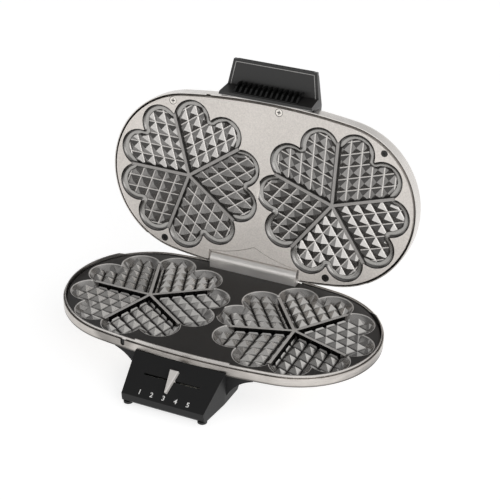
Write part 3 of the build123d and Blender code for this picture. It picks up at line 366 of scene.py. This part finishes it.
def lowerPlateMaterial(look):
    material, wire, shader, place = newMaterial("lowerPlateCoat")
    inPlate = wire.mapped(place, location=(0, -plates["y"] * mm, -plates["height"] * mm))
    depth = wire.times(wire.split(inPlate)[2], -1 / mm)
    heart = useGroup(wire, heartField, Vector=inPlate, First_groove=look["firstGroove"])
    grain = useGroup(wire, fineGrain, Vector=place, Scale=look["grainScale"], Amount=look["grainAmount"])
    inPocket = pocketMask(wire, depth, heart)
    fromFoot = wire.minus(heart["Outline"], plates["wallRun"])
    onWall = wire.times(wire.ramp(fromFoot, *look["wallEnd"]), inPocket)
    onSpoke = wire.times(wire.ramp(heart["Spoke"], *look["spokeEdge"]),
                         wire.ramp(depth, *look["spokeDepth"]))
    shade = wire.times(wire.ramp(heart["Groove"], *look["grooveShade"]),
                       wire.ramp(heart["Spoke"], *look["spokeShade"]))
    pocket = wire.scaled((*look["pocket"], 1), shade)
    # painted shade: the walls darker than the pocket
    pocket = wire.mix(onWall, pocket, (*look["wall"], 1))
    # painted highlight: the spoke tops lighter and matte
    pocket = wire.mix(onSpoke, pocket, (*look["spoke"], 1))
    # painted highlight: a light, matte line along the pocket's outline, where its rounded edge would catch
    # the light
    rim = wire.band(heart["Outline"], look["rimHighlightRise"], look["rimHighlightFall"])
    # painted reflection: the face near-black against the pocket's metal
    color = wire.mix(inPocket, (*look["coat"], 1), pocket)
    color = wire.mix(wire.times(rim, look["rimHighlightShare"]), color, (*look["rim"], 1))
    wire.join(wire.scaled(color, grain["Tint"]), shader.inputs["Base Color"])
    bare = wire.times(inPocket, wire.minus(1.0, wire.math("MAXIMUM", onSpoke, rim)))
    wire.join(wire.ramp(bare, 0, 1, *look["metal"]), shader.inputs["Metallic"])
    wire.join(wire.ramp(inPocket, 0, 1, look["coatRough"], look["pocketRough"]), shader.inputs["Roughness"])
    bump(wire, shader, grain["Height"], plateLook["bumpDepth"], plateLook["bump"])
    return material


def upperPlateMaterial(look):
    material, wire, shader, place = newMaterial("upperPlateCoat")
    inPlate = inUpperPlate(wire, place)
    depth = wire.times(wire.split(inPlate)[2], 1 / mm)
    heart = useGroup(wire, heartField, Vector=inPlate, First_groove=look["firstGroove"])
    grain = useGroup(wire, fineGrain, Vector=place, Scale=look["grainScale"], Amount=look["grainAmount"])
    coarse = useGroup(wire, fineGrain, Vector=place, Scale=look["coarseScale"], Amount=look["coarseAmount"])
    inPocket = pocketMask(wire, depth, heart)
    fromFoot = wire.minus(heart["Outline"], look["wallRun"])
    onWall = wire.times(wire.ramp(fromFoot, *look["wallEnd"]), inPocket)

    # painted highlights: light lines along the valleys, where flat valley floors would catch the light,
    # clear of the walls and the spokes
    line = wire.times(wire.ramp(heart["Groove"], *look["highlightLineEdge"]), wire.ramp(depth, *look["highlightLineDepth"]))
    line = wire.times(line, wire.ramp(heart["Spoke"], *look["highlightLineStart"]))
    line = wire.times(wire.times(line, inPocket), wire.minus(1.0, onWall))

    # painted shade and light on the wall: its steep part dark, the ledge below it lighter, and a dark line
    # along its foot
    onLitLedge = wire.ramp(heart["Outline"], *look["litLedgeStart"])
    wall = wire.mix(onLitLedge, (*look["wall"], 1), (*look["ledge"], 1))
    foot = wire.times(wire.band(fromFoot, look["footShadeRise"], look["footShadeFall"]), look["footShadeShare"])
    pocket = wire.mix(onWall, (*look["pocket"], 1), wall)
    pocket = wire.mix(line, pocket, (*look["line"], 1))
    pocket = wire.mix(foot, pocket, (*look["edge"], 1))

    # painted shade: a dark band inside the pocket's mouth and dark strips beside the spokes
    edge = wire.times(wire.band(heart["Outline"], look["mouthShadeRise"], look["mouthShadeFall"]), look["mouthShadeShare"])
    onSpoke = wire.times(wire.ramp(heart["Spoke"], *look["spokeEdge"]), inPocket)
    beside = wire.times(wire.band(heart["Spoke"], look["besideShadeRise"], look["besideShadeFall"]), inPocket)
    # painted reflection: the face pale against the pocket
    color = wire.mix(inPocket, wire.scaled((*look["face"], 1), coarse["Tint"]), pocket)
    # painted highlight: the spoke tops lighter
    color = wire.mix(onSpoke, color, (*look["spoke"], 1))
    color = wire.mix(wire.times(beside, look["besideShadeShare"]), color, (*look["edge"], 1))
    color = wire.mix(edge, color, (*look["edge"], 1))
    wire.join(wire.scaled(color, grain["Tint"]), shader.inputs["Base Color"])
    flat = wire.math("MAXIMUM", onSpoke, wire.minus(1.0, inPocket))
    wire.join(wire.ramp(wire.math("MAXIMUM", line, flat), 0, 1, *look["metal"]), shader.inputs["Metallic"])
    wire.join(wire.ramp(flat, 0, 1, look["pocketRough"], look["faceRough"]), shader.inputs["Roughness"])
    bump(wire, shader, grain["Height"], plateLook["bumpDepth"], plateLook["bump"])
    return material


# the screws in the upper plate, all alike, with painted light: those at the front painted bright as lit, the
# others dark as shaded, and each one's cross recess painted dark as shade; the front row ends at frontRow,
# in metres, and the cross's painted shade starts at the depth given, in millimetres
faceScrew = {
    "bright": (0.80, 0.76, 0.71), "shadedHead": (0.05, 0.048, 0.046), "cross": (0.012, 0.012, 0.012),
    "frontRow": (-0.077, -0.073), "crossShadeDepth": (0.32, 0.42), "metal": (0.9, 0.1), "rough": (0.26, 0.4),
    "brushing": 0.2,
}


def faceScrewMaterial(look):
    material, wire, shader, place = newMaterial("faceScrews")
    parts = wire.split(inUpperPlate(wire, place))
    inCrossShade = wire.ramp(wire.times(parts[2], 1 / mm), *look["crossShadeDepth"])
    brush = useGroup(wire, brushedSteel, Vector=place, Amount=look["brushing"])
    # painted light and shade: the front row bright, the rest dark
    color = wire.mix(wire.ramp(parts[1], *look["frontRow"]), (*look["bright"], 1), (*look["shadedHead"], 1))
    # painted shade in the cross recess
    color = wire.mix(inCrossShade, color, (*look["cross"], 1))
    wire.join(wire.scaled(color, brush["Tint"]), shader.inputs["Base Color"])
    wire.join(wire.ramp(inCrossShade, 0, 1, *look["metal"]), shader.inputs["Metallic"])
    wire.join(wire.ramp(brush["Streak"], *steelLook["streak"], *look["rough"]), shader.inputs["Roughness"])
    bump(wire, shader, brush["Streak"], steelLook["depth"], steelLook["bump"])
    return material


# steel has a colour, roughness and brushing; the others a colour, roughness, grain and the grain's scale
finishes = {
    "faceScrews": faceScrewMaterial(faceScrew),
    # the band carries painted dark reflections and a line of painted shade along its foot
    "bandSteel": steelMaterial("bandSteel", (0.56, 0.527, 0.495), 0.30, 0.9, darkReflections=0.45, footShadeZ=0.0362),
    "lidSteel": steelMaterial("lidSteel", (0.68, 0.65, 0.62), 0.28, 0.4),
    "rimSteel": steelMaterial("rimSteel", (0.60, 0.575, 0.55), 0.28, 0.3),
    # painted light: the barrel's steel paler and less metallic than the ring's steel it matches
    "barrelSteel": steelMaterial("barrelSteel", (0.88, 0.85, 0.82), 0.36, 0.12, metal=0.75, depth=0.000002),
    "hingeSteel": steelMaterial("hingeSteel", (0.50, 0.485, 0.47), 0.34, 0.2),
    "screwSteel": steelMaterial("screwSteel", (0.70, 0.67, 0.64), 0.25, 0.15),
    "heaterSteel": steelMaterial("heaterSteel", (0.12, 0.115, 0.11), 0.5, 0.3),
    "reflector": steelMaterial("reflectorSheet", (0.78, 0.78, 0.79), 0.22, 0.1),
    "housing": plainMaterial("housingPlastic", (0.013, 0.013, 0.0133), 0.42, 0.25, 1500.0, gloss=0.2),
    "grip": plainMaterial("gripPlastic", (0.014, 0.0135, 0.013), 0.36, 0.2, 1500.0),
    # the fin plastic also serves as painted shade in the plate's screw holes and behind the band's notch
    "finsAndShade": plainMaterial("finPlasticAndShade", (0.005, 0.005, 0.005), 0.22, 0.2, 1500.0, gloss=0.3),
    # painted highlight on the edges of the grip and the ledge
    "edgeGlint": plainMaterial("edgeGlint", (0.42, 0.41, 0.40), 0.3, 0.1, 1500.0),
    "knob": plainMaterial("knobFinish", (0.74, 0.71, 0.68), 0.34, 0.08, 1800.0, metal=0.2),
    "rubber": plainMaterial("footRubber", (0.014, 0.014, 0.014), 0.7, 0.3, 700.0),
    "ceramic": plainMaterial("ceramicWhite", (0.74, 0.70, 0.64), 0.6, 0.1, 600.0),
    "nylon": plainMaterial("naturalNylon", (0.70, 0.67, 0.58), 0.45, 0.08, 600.0),
    "lead": plainMaterial("leadSleeve", (0.42, 0.38, 0.33), 0.6, 0.25, 1800.0),
    "print": plainMaterial("scalePrint", (0.86, 0.85, 0.83), 0.5, 0.03),
    "lowerPlate": lowerPlateMaterial(lowerPlate),
    "upperPlate": upperPlateMaterial(upperPlate),
}
nodesOf = {
    "bandSteel": ["base_shell"],
    "lidSteel": ["lid_shell"],
    "rimSteel": ["base_rim_ring", "hinge_cheeks"],
    "barrelSteel": ["hinge_barrel"],
    "hingeSteel": ["hinge_pin", "hinge_brackets", "lid_posts", "lower_heater_clips", "upper_heater_clips",
                   "thermostat_bracket"],
    "screwSteel": ["lower_plate_screws", "cover_screws", "hinge_screws", "reflector_screws", "cheek_screws",
                   "handle_screws"],
    "faceScrews": ["upper_plate_screws"],
    "heaterSteel": ["lower_heater", "upper_heater"],
    "reflector": ["lower_reflector", "upper_reflector"],
    "lowerPlate": ["lower_waffle_plate"],
    "upperPlate": ["upper_waffle_plate", "hinge_web"],
    "housing": ["console_housing", "console_cover", "rear_support", "cord_gland"],
    "grip": ["lid_handle"],
    "finsAndShade": ["handle_grip_insert", "slider_carriage"],
    "knob": ["temperature_slider"],
    "rubber": ["front_feet", "rear_feet"],
    "ceramic": ["thermal_fuse", "thermostat"],
    "nylon": ["terminal_block", "thermostat_follower"],
    "lead": ["inner_lead"],
}
for finish, names in nodesOf.items():
    for name in names:
        mesh = nodes[name].data
        mesh.materials.clear()
        mesh.materials.append(finishes[finish])
print("materials made:", len(finishes))


# tools for the pieces made here, which are drawn in millimetres in their plate's own frame
def ringOf(shape, points, height):
    corners = [shape.verts.new((x, y, height)) for x, y in points]
    return [shape.edges.new(pair) for pair in zip(corners, corners[1:] + corners[:1])]


# a wall from a ring of edges to another height: its faces, and the ring that it ends in
def extrudeRing(shape, ring, height):
    made = bmesh.ops.extrude_edge_only(shape, edges=ring)["geom"]
    for part in made:
        if isinstance(part, bmesh.types.BMVert):
            part.co.z = height
    return ([part for part in made if isinstance(part, bmesh.types.BMFace)],
            [part for part in made if isinstance(part, bmesh.types.BMEdge)])


def fillBetween(shape, rings):
    bmesh.ops.triangle_fill(shape, edges=[edge for ring in rings for edge in ring], use_beauty=True)


def finishPiece(shape, name, body, finish):
    bmesh.ops.recalc_face_normals(shape, faces=shape.faces[:])
    mesh = bpy.data.meshes.new(name)
    shape.to_mesh(mesh)
    shape.free()
    mesh.transform(places[body] @ Matrix.Scale(mm, 4))
    mesh.materials.append(finishes[finish])
    piece = bpy.data.objects.new(name, mesh)
    bpy.context.scene.collection.objects.link(piece)
    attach(piece, body)
    return piece


# the two plates as cast: the lower one's pyramids are taller than the CAD piece has them, and both plates'
# pocket walls are round; depths are counted from the plate's face, a wall's entries are how far in from the
# outline it is at which depth, and a hole's are its middle and radius
lowerCast = {
    "name": "lower_plate_cast", "node": "lower_waffle_plate", "body": "base", "slot": "lower_plate_coat",
    "finish": "lowerPlate", "down": -1, "edgeGap": 0.8, "thickness": 8.5, "rearHalf": 52.3,
    "floor": 6.5, "tip": 0.3, "firstGroove": 6.6, "spokeSide": 4.0, "clip": 0.6,
    "spokeHalf": 1.8, "spokeTop": 0.8, "spokeReach": 68.0, "holes": [],
    "wall": [(-0.45, 0.0), (-0.13, 0.07), (0.16, 0.3), (0.45, 0.75), (8.6, 6.5)],
}
upperCast = {
    "name": "upper_plate_cast", "node": "upper_waffle_plate", "body": "lid", "slot": "upper_plate_coat",
    "finish": "upperPlate", "down": 1, "edgeGap": 0.0, "thickness": 8.5, "rearHalf": 54.9,
    "floor": 3.6, "tip": 0.3, "firstGroove": 13.8, "spokeSide": 2.4, "clip": 6.6,
    "spokeHalf": 1.7, "spokeTop": 0.35, "spokeReach": 73.0,
    "holes": [(-109.0, -82.5, 4.4), (16.0, -91.5, 4.5), (136.5, -69.5, 3.75), (-110.5, 80.5, 4.3),
              (86.0, 84.5, 4.3)],
    "wall": [(-0.5, 0.0), (-0.15, 0.08), (0.15, 0.3), (0.5, 0.9), (1.6, 2.2), (2.8, 2.8), (4.4, 3.1),
             (6.4, 3.25), (6.9, 3.6)],
}
# what both share: the oval with its rear cut, the seam on the lid's side, and how finely arcs are drawn
cast = {
    "endRadius": 90.5, "reach": 96.5, "rearCut": 83.6, "cornerBand": 8.0, "arcSteps": 40, "lobeSteps": 20,
    "cuspSteps": 6, "seamEnd": 82.5, "seamCusp": 67.5, "seamBulge": 3.1, "seamSteps": 12, "holeDepth": 3.0,
    "holeSteps": 24, "cuts": 14, "spokeStep": 0.002,
}


# two curves that rise from the plate's rear corners to a cusp between them
def seamPath(half):
    cusp, end = Vector((0, cast["seamCusp"])), Vector((half, cast["seamEnd"]))
    out = Vector((cusp.y - end.y, end.x - cusp.x)).normalized() * cast["seamBulge"]
    shares = [step / cast["seamSteps"] for step in range(cast["seamSteps"] + 1)]
    points = [end.lerp(cusp, share) + out * 4 * share * (1 - share) for share in shares]
    return [(p.x, p.y) for p in points] + [(-p.x, p.y) for p in reversed(points[:-1])]


# an oval of two end arcs and two long ones that meet them in line, cut off at the rear
def castOutline(look):
    end = cast["endRadius"] - look["edgeGap"]
    reach = cast["reach"] - look["edgeGap"]
    half = plates["halfSpacing"]
    spare = cast["reach"] - cast["endRadius"]
    centreY = (half ** 2 + cast["reach"] ** 2 - cast["endRadius"] ** 2) / (2 * spare) - cast["reach"]
    spread = math.atan2(half, centreY)
    steps = cast["arcSteps"]
    points = []
    for step in range(steps + 1):
        angle = spread - math.pi / 2 + (math.pi - 2 * spread) * step / steps
        points.append((half + end * math.cos(angle), end * math.sin(angle)))
    for step in range(1, steps):
        angle = math.pi / 2 - spread + 2 * spread * step / steps
        points.append(((centreY + reach) * math.cos(angle), (centreY + reach) * math.sin(angle) - centreY))
    points += [(-x, -y) for x, y in points]
    corner = look["rearHalf"]
    kept = [(x, y) for x, y in points if y < cast["rearCut"] or abs(x) > corner]
    top = max(y for x, y in kept if abs(x) < corner + cast["cornerBand"] and y > 0)
    if look["body"] == "lid":
        rear = seamPath(corner)
    else:
        rear = [(corner, cast["rearCut"]), (-corner, cast["rearCut"])]
    at = next(i for i in range(len(kept)) if kept[i][0] > corner and kept[(i + 1) % len(kept)][0] < -corner)
    return kept[:at + 1] + [(corner, top)] + rear + [(-corner, top)] + kept[at + 1:]


def rosetteOutline(centreX, turn, inset):
    quarter = math.radians(plates["heartAngle"] / 4)
    lobeX, lobeY, cuspX = lobeAndCusp()
    lobe, cusp = plates["lobeRadius"] - inset, plates["cuspRadius"] + inset
    start = math.atan2(-lobeY, cuspX - lobeX)
    points = []
    for step in range(round(2 * 360 / plates["heartAngle"])):
        around = math.radians(turn) + 2 * quarter * step
        for part in range(cast["cuspSteps"]):
            angle = math.pi - start + 2 * start * part / cast["cuspSteps"]
            points.append((cuspX + cusp * math.cos(angle), cusp * math.sin(angle), around))
        for part in range(cast["lobeSteps"]):
            angle = start + (2 * quarter - 2 * start) * part / cast["lobeSteps"]
            points.append((lobeX + lobe * math.cos(angle), lobeY + lobe * math.sin(angle), around))
    return [(centreX + x * math.cos(a) - y * math.sin(a), x * math.sin(a) + y * math.cos(a))
            for x, y, a in points]


# one heart's pyramids between spokes at 0 and the heart's angle, as flat facets cut along every crease
def heartPyramids(look):
    shape = bmesh.new()
    fillBetween(shape, [ringOf(shape, rosetteOutline(0, 0, look["clip"]), 0)])
    heart = math.radians(plates["heartAngle"])
    firstWay = Vector((0, 1, 0))
    secondWay = Vector((math.sin(heart), -math.cos(heart), 0))
    half = plates["pitch"] / 2

    def cut(way, reach, clear=False):
        geometry = shape.verts[:] + shape.edges[:] + shape.faces[:]
        bmesh.ops.bisect_plane(shape, geom=geometry, dist=0.00001, plane_co=way.normalized() * reach,
                               plane_no=way.normalized(), clear_inner=clear)

    cut(firstWay, look["spokeSide"], True)
    cut(secondWay, look["spokeSide"], True)
    # grooves and tips lie in rows along each spoke, and the pyramids' other creases along both diagonals
    steps = range(-cast["cuts"], cast["cuts"])
    for way in (firstWay, secondWay):
        for step in steps:
            cut(way, look["firstGroove"] + half * step)
    for step in steps:
        cut(firstWay - secondWay, plates["pitch"] * step / (firstWay - secondWay).length)
    for step in steps:
        total = 2 * look["firstGroove"] + plates["pitch"] * step
        cut(firstWay + secondWay, total / (firstWay + secondWay).length)
    for corner in shape.verts:
        heights = []
        for way in (firstWay, secondWay):
            place = ((corner.co.dot(way) - look["firstGroove"]) / half) % 2.0
            heights.append(look["tip"] + (look["floor"] - look["tip"]) * abs(1 - place))
        corner.co.z = max(heights) * look["down"]
    # the outermost facets get sides that go down to the floor
    extrudeRing(shape, [edge for edge in shape.edges if edge.is_boundary], look["floor"] * look["down"])
    return shape


def addRosette(shape, look, centreX, turn, pyramidMesh):
    rings = [ringOf(shape, rosetteOutline(centreX, turn, inset), depth * look["down"])
             for inset, depth in look["wall"]]
    for upper, lower in zip(rings, rings[1:]):
        for face in bmesh.ops.bridge_loops(shape, edges=upper + lower)["faces"]:
            face.smooth = True
    fillBetween(shape, rings[-1:])
    for step in range(round(360 / plates["heartAngle"])):
        angle = math.radians(turn + plates["heartAngle"] * step)
        place = Matrix.Translation((centreX, 0, 0)) @ Matrix.Rotation(angle, 4, "Z")
        before = len(shape.verts)
        shape.from_mesh(pyramidMesh)
        shape.verts.ensure_lookup_table()
        bmesh.ops.transform(shape, matrix=place, verts=shape.verts[before:])
        # each spoke lies a hair deeper than the one before, so that no two tops share a plane at the middle
        top = (look["spokeTop"] + cast["spokeStep"] * step) * look["down"]
        middle = place @ Matrix.Translation((look["spokeReach"] / 2, 0, top))
        size = Matrix.Diagonal((look["spokeReach"], 2 * look["spokeHalf"], 1, 1))
        spoke = bmesh.ops.create_grid(shape, x_segments=1, y_segments=1, size=0.5, matrix=middle @ size)
        extrudeRing(shape, spoke["verts"][0].link_faces[0].edges[:], look["floor"] * look["down"])
    return rings[0]


# a screw's hole, whose walls and bottom have the piece's second material, the near-black fin plastic as
# painted shade
def addHole(shape, centreX, centreY, radius, depth):
    place = Matrix.Translation((centreX, centreY, 0))
    mouth = bmesh.ops.create_circle(shape, segments=cast["holeSteps"], radius=radius, matrix=place)["verts"]
    ring = list(dict.fromkeys(edge for corner in mouth for edge in corner.link_edges))
    walls, foot = extrudeRing(shape, ring, depth)
    for face in walls:
        face.smooth = True
        face.material_index = 1
    bmesh.ops.edgeloop_fill(shape, edges=foot, mat_nr=1, use_smooth=False)
    return ring


def addPlate(look):
    shape = bmesh.new()
    top = ringOf(shape, castOutline(look), 0)
    foot = extrudeRing(shape, top, look["thickness"] * look["down"])[1]
    pyramids = heartPyramids(look)
    pyramidMesh = bpy.data.meshes.new("heartPyramids")
    pyramids.to_mesh(pyramidMesh)
    pyramids.free()
    half = plates["halfSpacing"]
    rings = [top]
    for centreX, turn in ((-half, plates["turnLeft"]), (half, plates["turnRight"])):
        rings.append(addRosette(shape, look, centreX, turn, pyramidMesh))
    for centreX, centreY, radius in look["holes"]:
        rings.append(addHole(shape, centreX, centreY, radius, cast["holeDepth"] * look["down"]))
    bpy.data.meshes.remove(pyramidMesh)
    fillBetween(shape, rings)
    fillBetween(shape, [foot])
    piece = finishPiece(shape, look["name"], look["body"], look["finish"])
    if look["holes"]:
        # painted shade: the holes' walls and bottoms near-black
        piece.data.materials.append(finishes["finsAndShade"])
    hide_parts(look["node"])


addPlate(lowerCast)
addPlate(upperCast)
print("plates cast")


# a bar with a four-sided section along two paths, from the low heights to the high ones
def addStrip(shape, outer, inner, lows, highs):
    sections = []
    for (outX, outY), (inX, inY), low, high in zip(outer, inner, lows, highs):
        spots = ((outX, outY, low), (outX, outY, high), (inX, inY, high), (inX, inY, low))
        corners = [shape.verts.new(spot) for spot in spots]
        sections.append([shape.edges.new(pair) for pair in zip(corners, corners[1:] + corners[:1])])
    for first, second in zip(sections, sections[1:]):
        bmesh.ops.bridge_loops(shape, edges=first + second)
    for end in (sections[0], sections[-1]):
        bmesh.ops.edgeloop_fill(shape, edges=end, mat_nr=0, use_smooth=False)


# the grip's raised border, square at its two outer corners, and two light strips of painted highlight: one
# inside the border and one along the front edge of the ledge
grip = {
    "tipY": -136.8, "tipHalf": 48.0, "tipGap": 0.5, "backY": -100.6, "backHalf": 54.0, "underTipZ": 19.6,
    "underZ": 18.6, "underY": -108.5, "rootGap": 2.0, "top": 23.6, "border": 3.2, "proud": 0.5,
    "overlap": 0.12, "line": 0.5, "lineProud": 0.1, "lineHigh": 0.4,
    "ledgeZ": -2.9, "ledgeInset": 0.6, "ledgeLow": 0.15, "ledgeHigh": 0.6,
}


# the way along the grip's edge, so far in from it, and the height of the grip's underside there
def gripPath(look, inset):
    side = (look["backHalf"] - look["tipHalf"]) / (look["backY"] - look["tipY"])
    tip = look["tipY"] + max(inset, look["tipGap"])
    far = look["tipHalf"] + side * inset - inset
    start = look["underY"] + look["rootGap"]
    root = look["tipHalf"] + side * (start - look["tipY"]) - inset
    path = [(root, start), (far, tip), (-far, tip), (-root, start)]
    slope = (look["underTipZ"] - look["underZ"]) / (look["tipY"] - look["underY"])
    return path, [look["underZ"] + slope * (y - look["underY"]) for x, y in path]


def addGripBorder(look):
    outer, under = gripPath(look, -look["overlap"])
    inner = gripPath(look, look["border"])[0]
    shape = bmesh.new()
    addStrip(shape, outer, inner, [z - look["proud"] for z in under], [look["top"]] * len(under))
    finishPiece(shape, "grip_border", "lid", "grip")


# painted highlight: a light line inside the grip's border
def addGripGlintLine(look):
    outer, under = gripPath(look, look["border"] - look["lineProud"])
    inner = gripPath(look, look["border"] + look["line"])[0]
    lows = [z - look["proud"] - look["lineProud"] for z in under]
    shape = bmesh.new()
    addStrip(shape, outer, inner, lows, [z + look["lineHigh"] for z in under])
    finishPiece(shape, "grip_glint_line", "lid", "edgeGlint")


# painted highlight: a light line along the ledge's front edge
def addLedgeGlint(look):
    half = look["backHalf"] - look["ledgeInset"]
    behind, front = look["backY"] + look["lineProud"], look["backY"] - look["line"]
    low, high = look["ledgeZ"] - look["ledgeLow"], look["ledgeZ"] + look["ledgeHigh"]
    outer, inner = [(half, behind), (-half, behind)], [(half, front), (-half, front)]
    shape = bmesh.new()
    addStrip(shape, outer, inner, [low] * 2, [high] * 2)
    finishPiece(shape, "ledge_glint", "lid", "edgeGlint")


# painted shade: a dark sheet behind the notch in the band, seen through it in place of the shade inside
notchShade = {"x": -67.5, "y": -95.4, "turn": 5.6, "half": 3.2, "low": -6.9, "high": 0.6, "thick": 0.3}


def addNotchShade(look):
    size = (2 * look["half"], look["thick"], look["high"] - look["low"], 1)
    middle = Vector((look["x"], look["y"], (look["high"] + look["low"]) / 2))
    place = Matrix.Translation(middle) @ Matrix.Rotation(math.radians(-look["turn"]), 4, "Z")
    shape = bmesh.new()
    bmesh.ops.create_cube(shape, size=1.0, matrix=place @ Matrix.Diagonal(size))
    finishPiece(shape, "notch_shade", "base", "finsAndShade")


addGripBorder(grip)
addGripGlintLine(grip)
addLedgeGlint(grip)
addNotchShade(notchShade)
print("grip border and notch backing made")

# the console's sloping panel from its top edge to its foot, and where the printed numerals lie on it
panel = {
    "topY": -100.4, "topZ": -4.6, "footY": -141.0, "footShadeZ": -30.6,
    "numeralDown": 42.4, "numeralHeight": 5.2, "heightToSize": 1.38, "weight": 0.1, "printDepth": 0.08,
    "numerals": {"1": -27.4, "2": -14.2, "3": -0.9, "4": 12.7, "5": 26.3},
}


def panelPlace(look):
    slope = math.atan2(look["topZ"] - look["footShadeZ"], look["topY"] - look["footY"])
    edge = basePlace @ (Vector((0, look["topY"], look["topZ"])) * mm)
    return Matrix.Translation(edge) @ Matrix.Rotation(slope, 4, "X")


def addNumeral(look, figure, across):
    curve = bpy.data.curves.new("numeral" + figure, "FONT")
    curve.body = figure
    curve.size = look["numeralHeight"] * mm * look["heightToSize"]
    curve.align_x = "CENTER"
    curve.align_y = "CENTER"
    curve.extrude = look["printDepth"] * mm / 2
    curve.offset = look["weight"] * mm
    maker = bpy.data.objects.new("numeralMaker", curve)
    bpy.context.scene.collection.objects.link(maker)
    bpy.context.view_layer.update()
    mesh = bpy.data.meshes.new_from_object(maker.evaluated_get(bpy.context.evaluated_depsgraph_get()))
    bpy.data.objects.remove(maker)
    spot = Vector((across, -look["numeralDown"], look["printDepth"] / 2)) * mm
    mesh.transform(panelPlace(look) @ Matrix.Translation(spot))
    mesh.materials.clear()
    mesh.materials.append(finishes["print"])
    piece = bpy.data.objects.new("numeral_" + figure, mesh)
    bpy.context.scene.collection.objects.link(piece)
    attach(piece, "base")


for figure, across in panel["numerals"].items():
    addNumeral(panel, figure, across)
print("numerals made")

# the studio: floorGlow is what the floor's paper adds where it is seen, and left, right and above are the
# world's levels, with the readings between which they change
stage = {
    "floorSize": 12.0, "floorColor": (0.55, 0.55, 0.55), "floorRough": 0.9, "floorGlow": 0.72,
    "left": 0.22, "right": 0.85, "above": 0.55, "sideways": (-0.2, 0.75), "upwards": (0.7, 0.86),
    "horizon": (0.2, 0.5),
}
# the second lamp lies on the floor and stands in for the light that white paper throws back up
lamps = {
    "rightLamp": {"place": (1.15, -1.55, 0.65), "aim": (0, 0, 0.1), "size": (1.7, 1.0), "power": 11.5,
                  "shows": True},
    "floorBounce": {"place": (0, 0, 0.001), "aim": (0, 0, 1), "size": (4.0, 4.0), "power": 36.2,
                    "shows": False},
}


# 1 for rays that leave the camera, and 1 for those that metal or glass send on
def rayMasks(wire):
    path = wire.add("ShaderNodeLightPath").outputs
    return path["Is Camera Ray"], wire.math("MAXIMUM", path["Is Glossy Ray"], path["Is Transmission Ray"])


def addFloor(look):
    shape = bmesh.new()
    bmesh.ops.create_grid(shape, x_segments=1, y_segments=1, size=look["floorSize"] / 2)
    mesh = bpy.data.meshes.new("floor")
    shape.to_mesh(mesh)
    shape.free()
    floor = bpy.data.objects.new("floor", mesh)
    bpy.context.scene.collection.objects.link(floor)
    material, wire, shader = newMaterial("floorPaper")[:3]
    shader.inputs["Base Color"].default_value = (*look["floorColor"], 1)
    shader.inputs["Roughness"].default_value = look["floorRough"]
    shader.inputs["Emission Color"].default_value = (1, 1, 1, 1)
    seen = wire.math("MAXIMUM", *rayMasks(wire))
    wire.join(wire.times(seen, look["floorGlow"]), shader.inputs["Emission Strength"])
    mesh.materials.append(material)


# light from all sides, stronger from the right and from above; the camera sees white in its place, and so do
# metal and glass near the horizon
def addWorld(look):
    world = bpy.data.worlds.new("studio")
    bpy.context.scene.world = world
    world.use_nodes = True
    world.node_tree.nodes.clear()
    wire = Wiring(world.node_tree)
    way = wire.split(wire.add("ShaderNodeTexCoord").outputs["Generated"])
    level = wire.ramp(way[0], *look["sideways"], look["left"], look["right"])
    level = wire.math("MAXIMUM", level, wire.ramp(way[2], *look["upwards"], 0.0, look["above"]))
    light = wire.add("ShaderNodeBackground")
    light.inputs["Color"].default_value = (1, 1, 1, 1)
    wire.join(level, light.inputs["Strength"])
    white = wire.add("ShaderNodeBackground")
    white.inputs["Color"].default_value = (1, 1, 1, 1)
    white.inputs["Strength"].default_value = 1.0
    direct, mirrored = rayMasks(wire)
    nearHorizon = wire.times(mirrored, wire.ramp(way[2], *look["horizon"], 1.0, 0.0))
    choose = wire.add("ShaderNodeMixShader")
    wire.join(wire.math("MAXIMUM", direct, nearHorizon), choose.inputs[0])
    wire.join(light.outputs[0], choose.inputs[1])
    wire.join(white.outputs[0], choose.inputs[2])
    wire.join(choose.outputs[0], wire.add("ShaderNodeOutputWorld").inputs["Surface"])


def addLamp(name, look):
    data = bpy.data.lights.new(name, "AREA")
    data.shape = "RECTANGLE"
    data.size, data.size_y = look["size"]
    data.energy = look["power"]
    lamp = bpy.data.objects.new(name, data)
    bpy.context.scene.collection.objects.link(lamp)
    lamp.location = look["place"]
    lamp.rotation_euler = (Vector(look["aim"]) - lamp.location).to_track_quat("-Z", "Y").to_euler()
    if not look["shows"]:
        lamp.visible_camera = False
        lamp.visible_glossy = False
        lamp.visible_transmission = False


# angles in degrees; the camera's place is counted in millimetres from the middle of the lower plate's face
view = {"azimuth": 22.601, "elevation": 28.734, "roll": 1.703, "place": (503.263, -1132.612, 755.589),
        "focal": 97.313, "sensor": 36.0, "clipStart": 0.05}


def addCamera(look):
    azimuth, elevation, roll = (math.radians(look[key]) for key in ("azimuth", "elevation", "roll"))
    back = Vector((math.sin(azimuth) * math.cos(elevation), -math.cos(azimuth) * math.cos(elevation),
                   math.sin(elevation)))
    right = Vector((math.cos(azimuth), math.sin(azimuth), 0))
    up = back.cross(right)
    turned = right * math.cos(roll) + up * math.sin(roll)
    raised = up * math.cos(roll) - right * math.sin(roll)
    data = bpy.data.cameras.new("camera")
    data.lens = look["focal"]
    data.sensor_width = look["sensor"]
    data.clip_start = look["clipStart"]
    camera = bpy.data.objects.new("camera", data)
    bpy.context.scene.collection.objects.link(camera)
    axes = Matrix((turned, raised, back)).transposed().to_4x4()
    camera.matrix_world = basePlace @ Matrix.Translation(Vector(look["place"]) * mm) @ axes
    bpy.context.scene.camera = camera


addFloor(stage)
addWorld(stage)
for name, look in lamps.items():
    addLamp(name, look)
addCamera(view)
bpy.context.scene.view_settings.view_transform = "Standard"
print("studio made")
